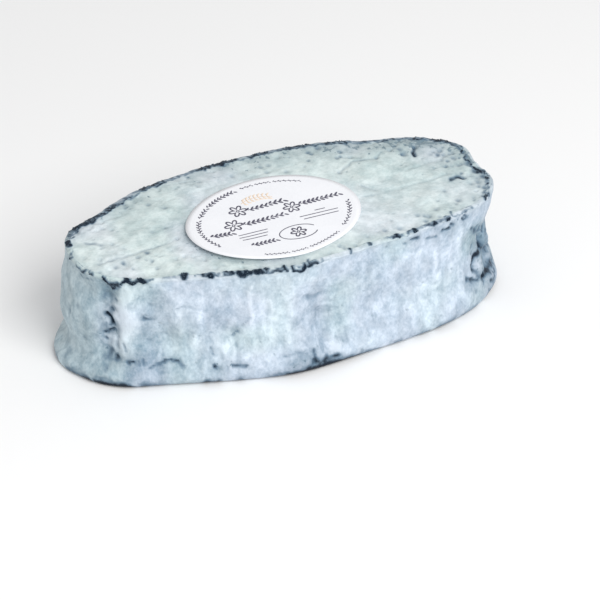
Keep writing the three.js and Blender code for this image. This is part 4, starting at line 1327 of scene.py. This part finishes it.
def inkLabel(tree, given):
    # Draws each plain stroke as a flat ribbon as wide as asked, and each leaf row as a
    # run of small leaves that lean as asked.
    lean = namedField(tree, "lean")
    width = namedField(tree, "width")
    lines = wire(tree, "GeometryNodeMeshToCurve", {"Mesh": given["Geometry"]})
    leafy = wire(tree, "FunctionNodeCompare", {0: sums(tree, "ABSOLUTE", lean), 1: 0.5},
                 data_type="FLOAT", operation="GREATER_THAN")
    split = addNode(tree, "GeometryNodeSeparateGeometry", {"Geometry": lines, "Selection": leafy},
                    domain="CURVE").outputs

    profile = wire(tree, "GeometryNodeCurvePrimitiveQuadrilateral", {"Width": 1.0, "Height": 1.0})
    sized = wire(tree, "GeometryNodeSetCurveRadius", {"Curve": split["Inverted"], "Radius": width})
    level = wire(tree, "GeometryNodeSetCurveNormal", {"Curve": sized}, mode="Z_UP")
    inputs = {"Curve": level, "Profile Curve": profile, "Scale": width, "Fill Caps": True}
    ribbons = wire(tree, "GeometryNodeCurveToMesh", inputs)

    inputs = {"Curve": split["Selection"], "Length": given["Leaf spacing"]}
    nodes = wire(tree, "GeometryNodeResampleCurve", inputs, mode="LENGTH")
    leaf = wire(tree, "GeometryNodeMeshCylinder", {"Vertices": 10, "Radius": 0.5, "Depth": 1.0})
    tangent = wire(tree, "GeometryNodeInputTangent")
    facing = wire(tree, "FunctionNodeAlignEulerToVector", {"Vector": tangent}, axis="X")
    leaned = wire(tree, "ShaderNodeCombineXYZ", {2: sums(tree, "MULTIPLY", lean, 0.7)})
    spun = wire(tree, "FunctionNodeRotateEuler", {0: facing, 1: leaned},
                rotation_type="EULER", space="LOCAL")
    nextSeed = sums(tree, "ADD", given["Seed"], 1.0)
    varied = chanceVector(tree, (0.5, 0.2, 1.0), (0.62, 0.25, 1.0), nextSeed)
    leaves = placeCopies(tree, nodes, leaf, spun, timesVector(tree, varied, width))

    both = addNode(tree, "GeometryNodeJoinGeometry", {0: ribbons})
    feed(tree, both.inputs[0], leaves)
    place = addNode(tree, "ShaderNodeSeparateXYZ", {0: wire(tree, "GeometryNodeInputPosition")}).outputs
    above = sums(tree, "MULTIPLY", sums(tree, "SIGN", place[2]), given["Ink height"])
    flat = wire(tree, "ShaderNodeCombineXYZ", {0: place[0], 1: place[1], 2: above})
    return wire(tree, "GeometryNodeSetPosition", {"Geometry": both.outputs[0], "Position": flat})


def makeInkMaterial():
    material, tree = newMaterial("labelInk")
    place = objectPlace(tree)
    dark = addMottle(tree, place, inkLook["dark"], 0.0)
    faint = addMottle(tree, place, inkLook["tan"], 0.0)
    ink = blendColours(tree, attributeOf(tree, "tan"), dark["Color"], faint["Color"])
    finishShader(tree, ink, spread(tree, dark["Height"], 0.0, 1.0, 0.5, 0.65), 0.3)
    return material


def makePrint():
    # Draws the print flat and then lays it on the paper.
    strokes = printStrokes()
    starts = np.cumsum([0] + [len(s["points"]) for s in strokes])
    edges = [(i, i + 1) for a, b in zip(starts[:-1], starts[1:]) for i in range(a, b - 1)]
    flat = np.concatenate([s["points"] for s in strokes])
    values = {}
    for name in ("width", "lean", "tan"):
        values[name] = np.concatenate([np.broadcast_to(s[name], (len(s["points"]),)) for s in strokes])
    piece = newPiece("labelPrint", np.column_stack([flat, np.zeros(len(flat))]), [], values, edges)
    ink = {"Ink height": labelPrint["inkHeight"], "Leaf spacing": labelPrint["leafPitch"], "Seed": 3}
    grow(piece, "labelInk", ink, makeInkMaterial(), inkLabel)
    places = np.empty(len(piece.data.vertices) * 3)
    piece.data.vertices.foreach_get("co", places)
    u, v, up = places.reshape(-1, 3).T
    x, y = fromLabel(*turned(u, v, labelPrint["turn"]))
    z = paperHeight(x, y) + label["thickness"] + up + 0.2 * labelPrint["inkHeight"]
    laid = (np.stack([x, y, z], axis=-1) + shift) * mm
    piece.data.vertices.foreach_set("co", laid.ravel())
    piece.data.update()
    return piece


printed = makePrint()
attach(printed, "root")
print("label printed:", len(printed.data.polygons), "faces")

# The stage: a plain pale floor, a large soft light and the camera

stage = {
    "floorSize": 3.0,
    "floorColour": (0.9, 0.9, 0.9, 1.0),
    "worldStrength": 0.62,
    "keyEnergy": 4.6,
    "keySize": 0.5,
    "keyAt": (0.12, -0.53, 0.55),
    "aim": (0, 0, 0.015),
    "azimuth": -21.4,
    "elevation": 34.9,
    "distance": 0.9,
    "focalPixels": 3555.4,
    "aimPixel": (276.22, 260.0),
    "imageSize": 600,
}

half = stage["floorSize"] / 2
corners = np.array([(-half, -half, 0), (half, -half, 0), (half, half, 0), (-half, half, 0)])
floor = newPiece("floor", corners, [(0, 1, 2, 3)])
floorMaterial, floorTree = newMaterial("floorPaint")
finishShader(floorTree, stage["floorColour"], 0.9)
floor.data.materials.append(floorMaterial)

world = bpy.data.worlds.new("studio")
world.use_nodes = True
world.node_tree.nodes["Background"].inputs["Color"].default_value = (1.0, 1.0, 1.0, 1.0)
world.node_tree.nodes["Background"].inputs["Strength"].default_value = stage["worldStrength"]
bpy.context.scene.world = world

keyData = bpy.data.lights.new("key", "AREA")
keyData.energy = stage["keyEnergy"]
keyData.size = stage["keySize"]
key = bpy.data.objects.new("key", keyData)
key.location = stage["keyAt"]
key.rotation_euler = (Vector(stage["aim"]) - key.location).to_track_quat("-Z", "Y").to_euler()
bpy.context.scene.collection.objects.link(key)


def makeCamera():
    azimuth = math.radians(stage["azimuth"])
    elevation = math.radians(stage["elevation"])
    level = math.cos(elevation)
    back = Vector((math.sin(azimuth) * level, -math.cos(azimuth) * level, math.sin(elevation)))
    right = Vector((math.cos(azimuth), math.sin(azimuth), 0))
    above = back.cross(right)
    aim = Vector(stage["aim"])
    middle = stage["imageSize"] / 2
    perPixel = stage["distance"] / stage["focalPixels"]
    sight = aim + right * (middle - stage["aimPixel"][0]) * perPixel
    sight = sight - above * (middle - stage["aimPixel"][1]) * perPixel
    data = bpy.data.cameras.new("camera")
    data.sensor_width = 36
    data.lens = stage["focalPixels"] * data.sensor_width / stage["imageSize"]
    camera = bpy.data.objects.new("camera", data)
    camera.location = aim + back * stage["distance"]
    camera.rotation_euler = (sight - camera.location).to_track_quat("-Z", "Y").to_euler()
    bpy.context.scene.collection.objects.link(camera)
    return camera


bpy.context.scene.camera = makeCamera()
bpy.context.scene.view_settings.view_transform = "Standard"
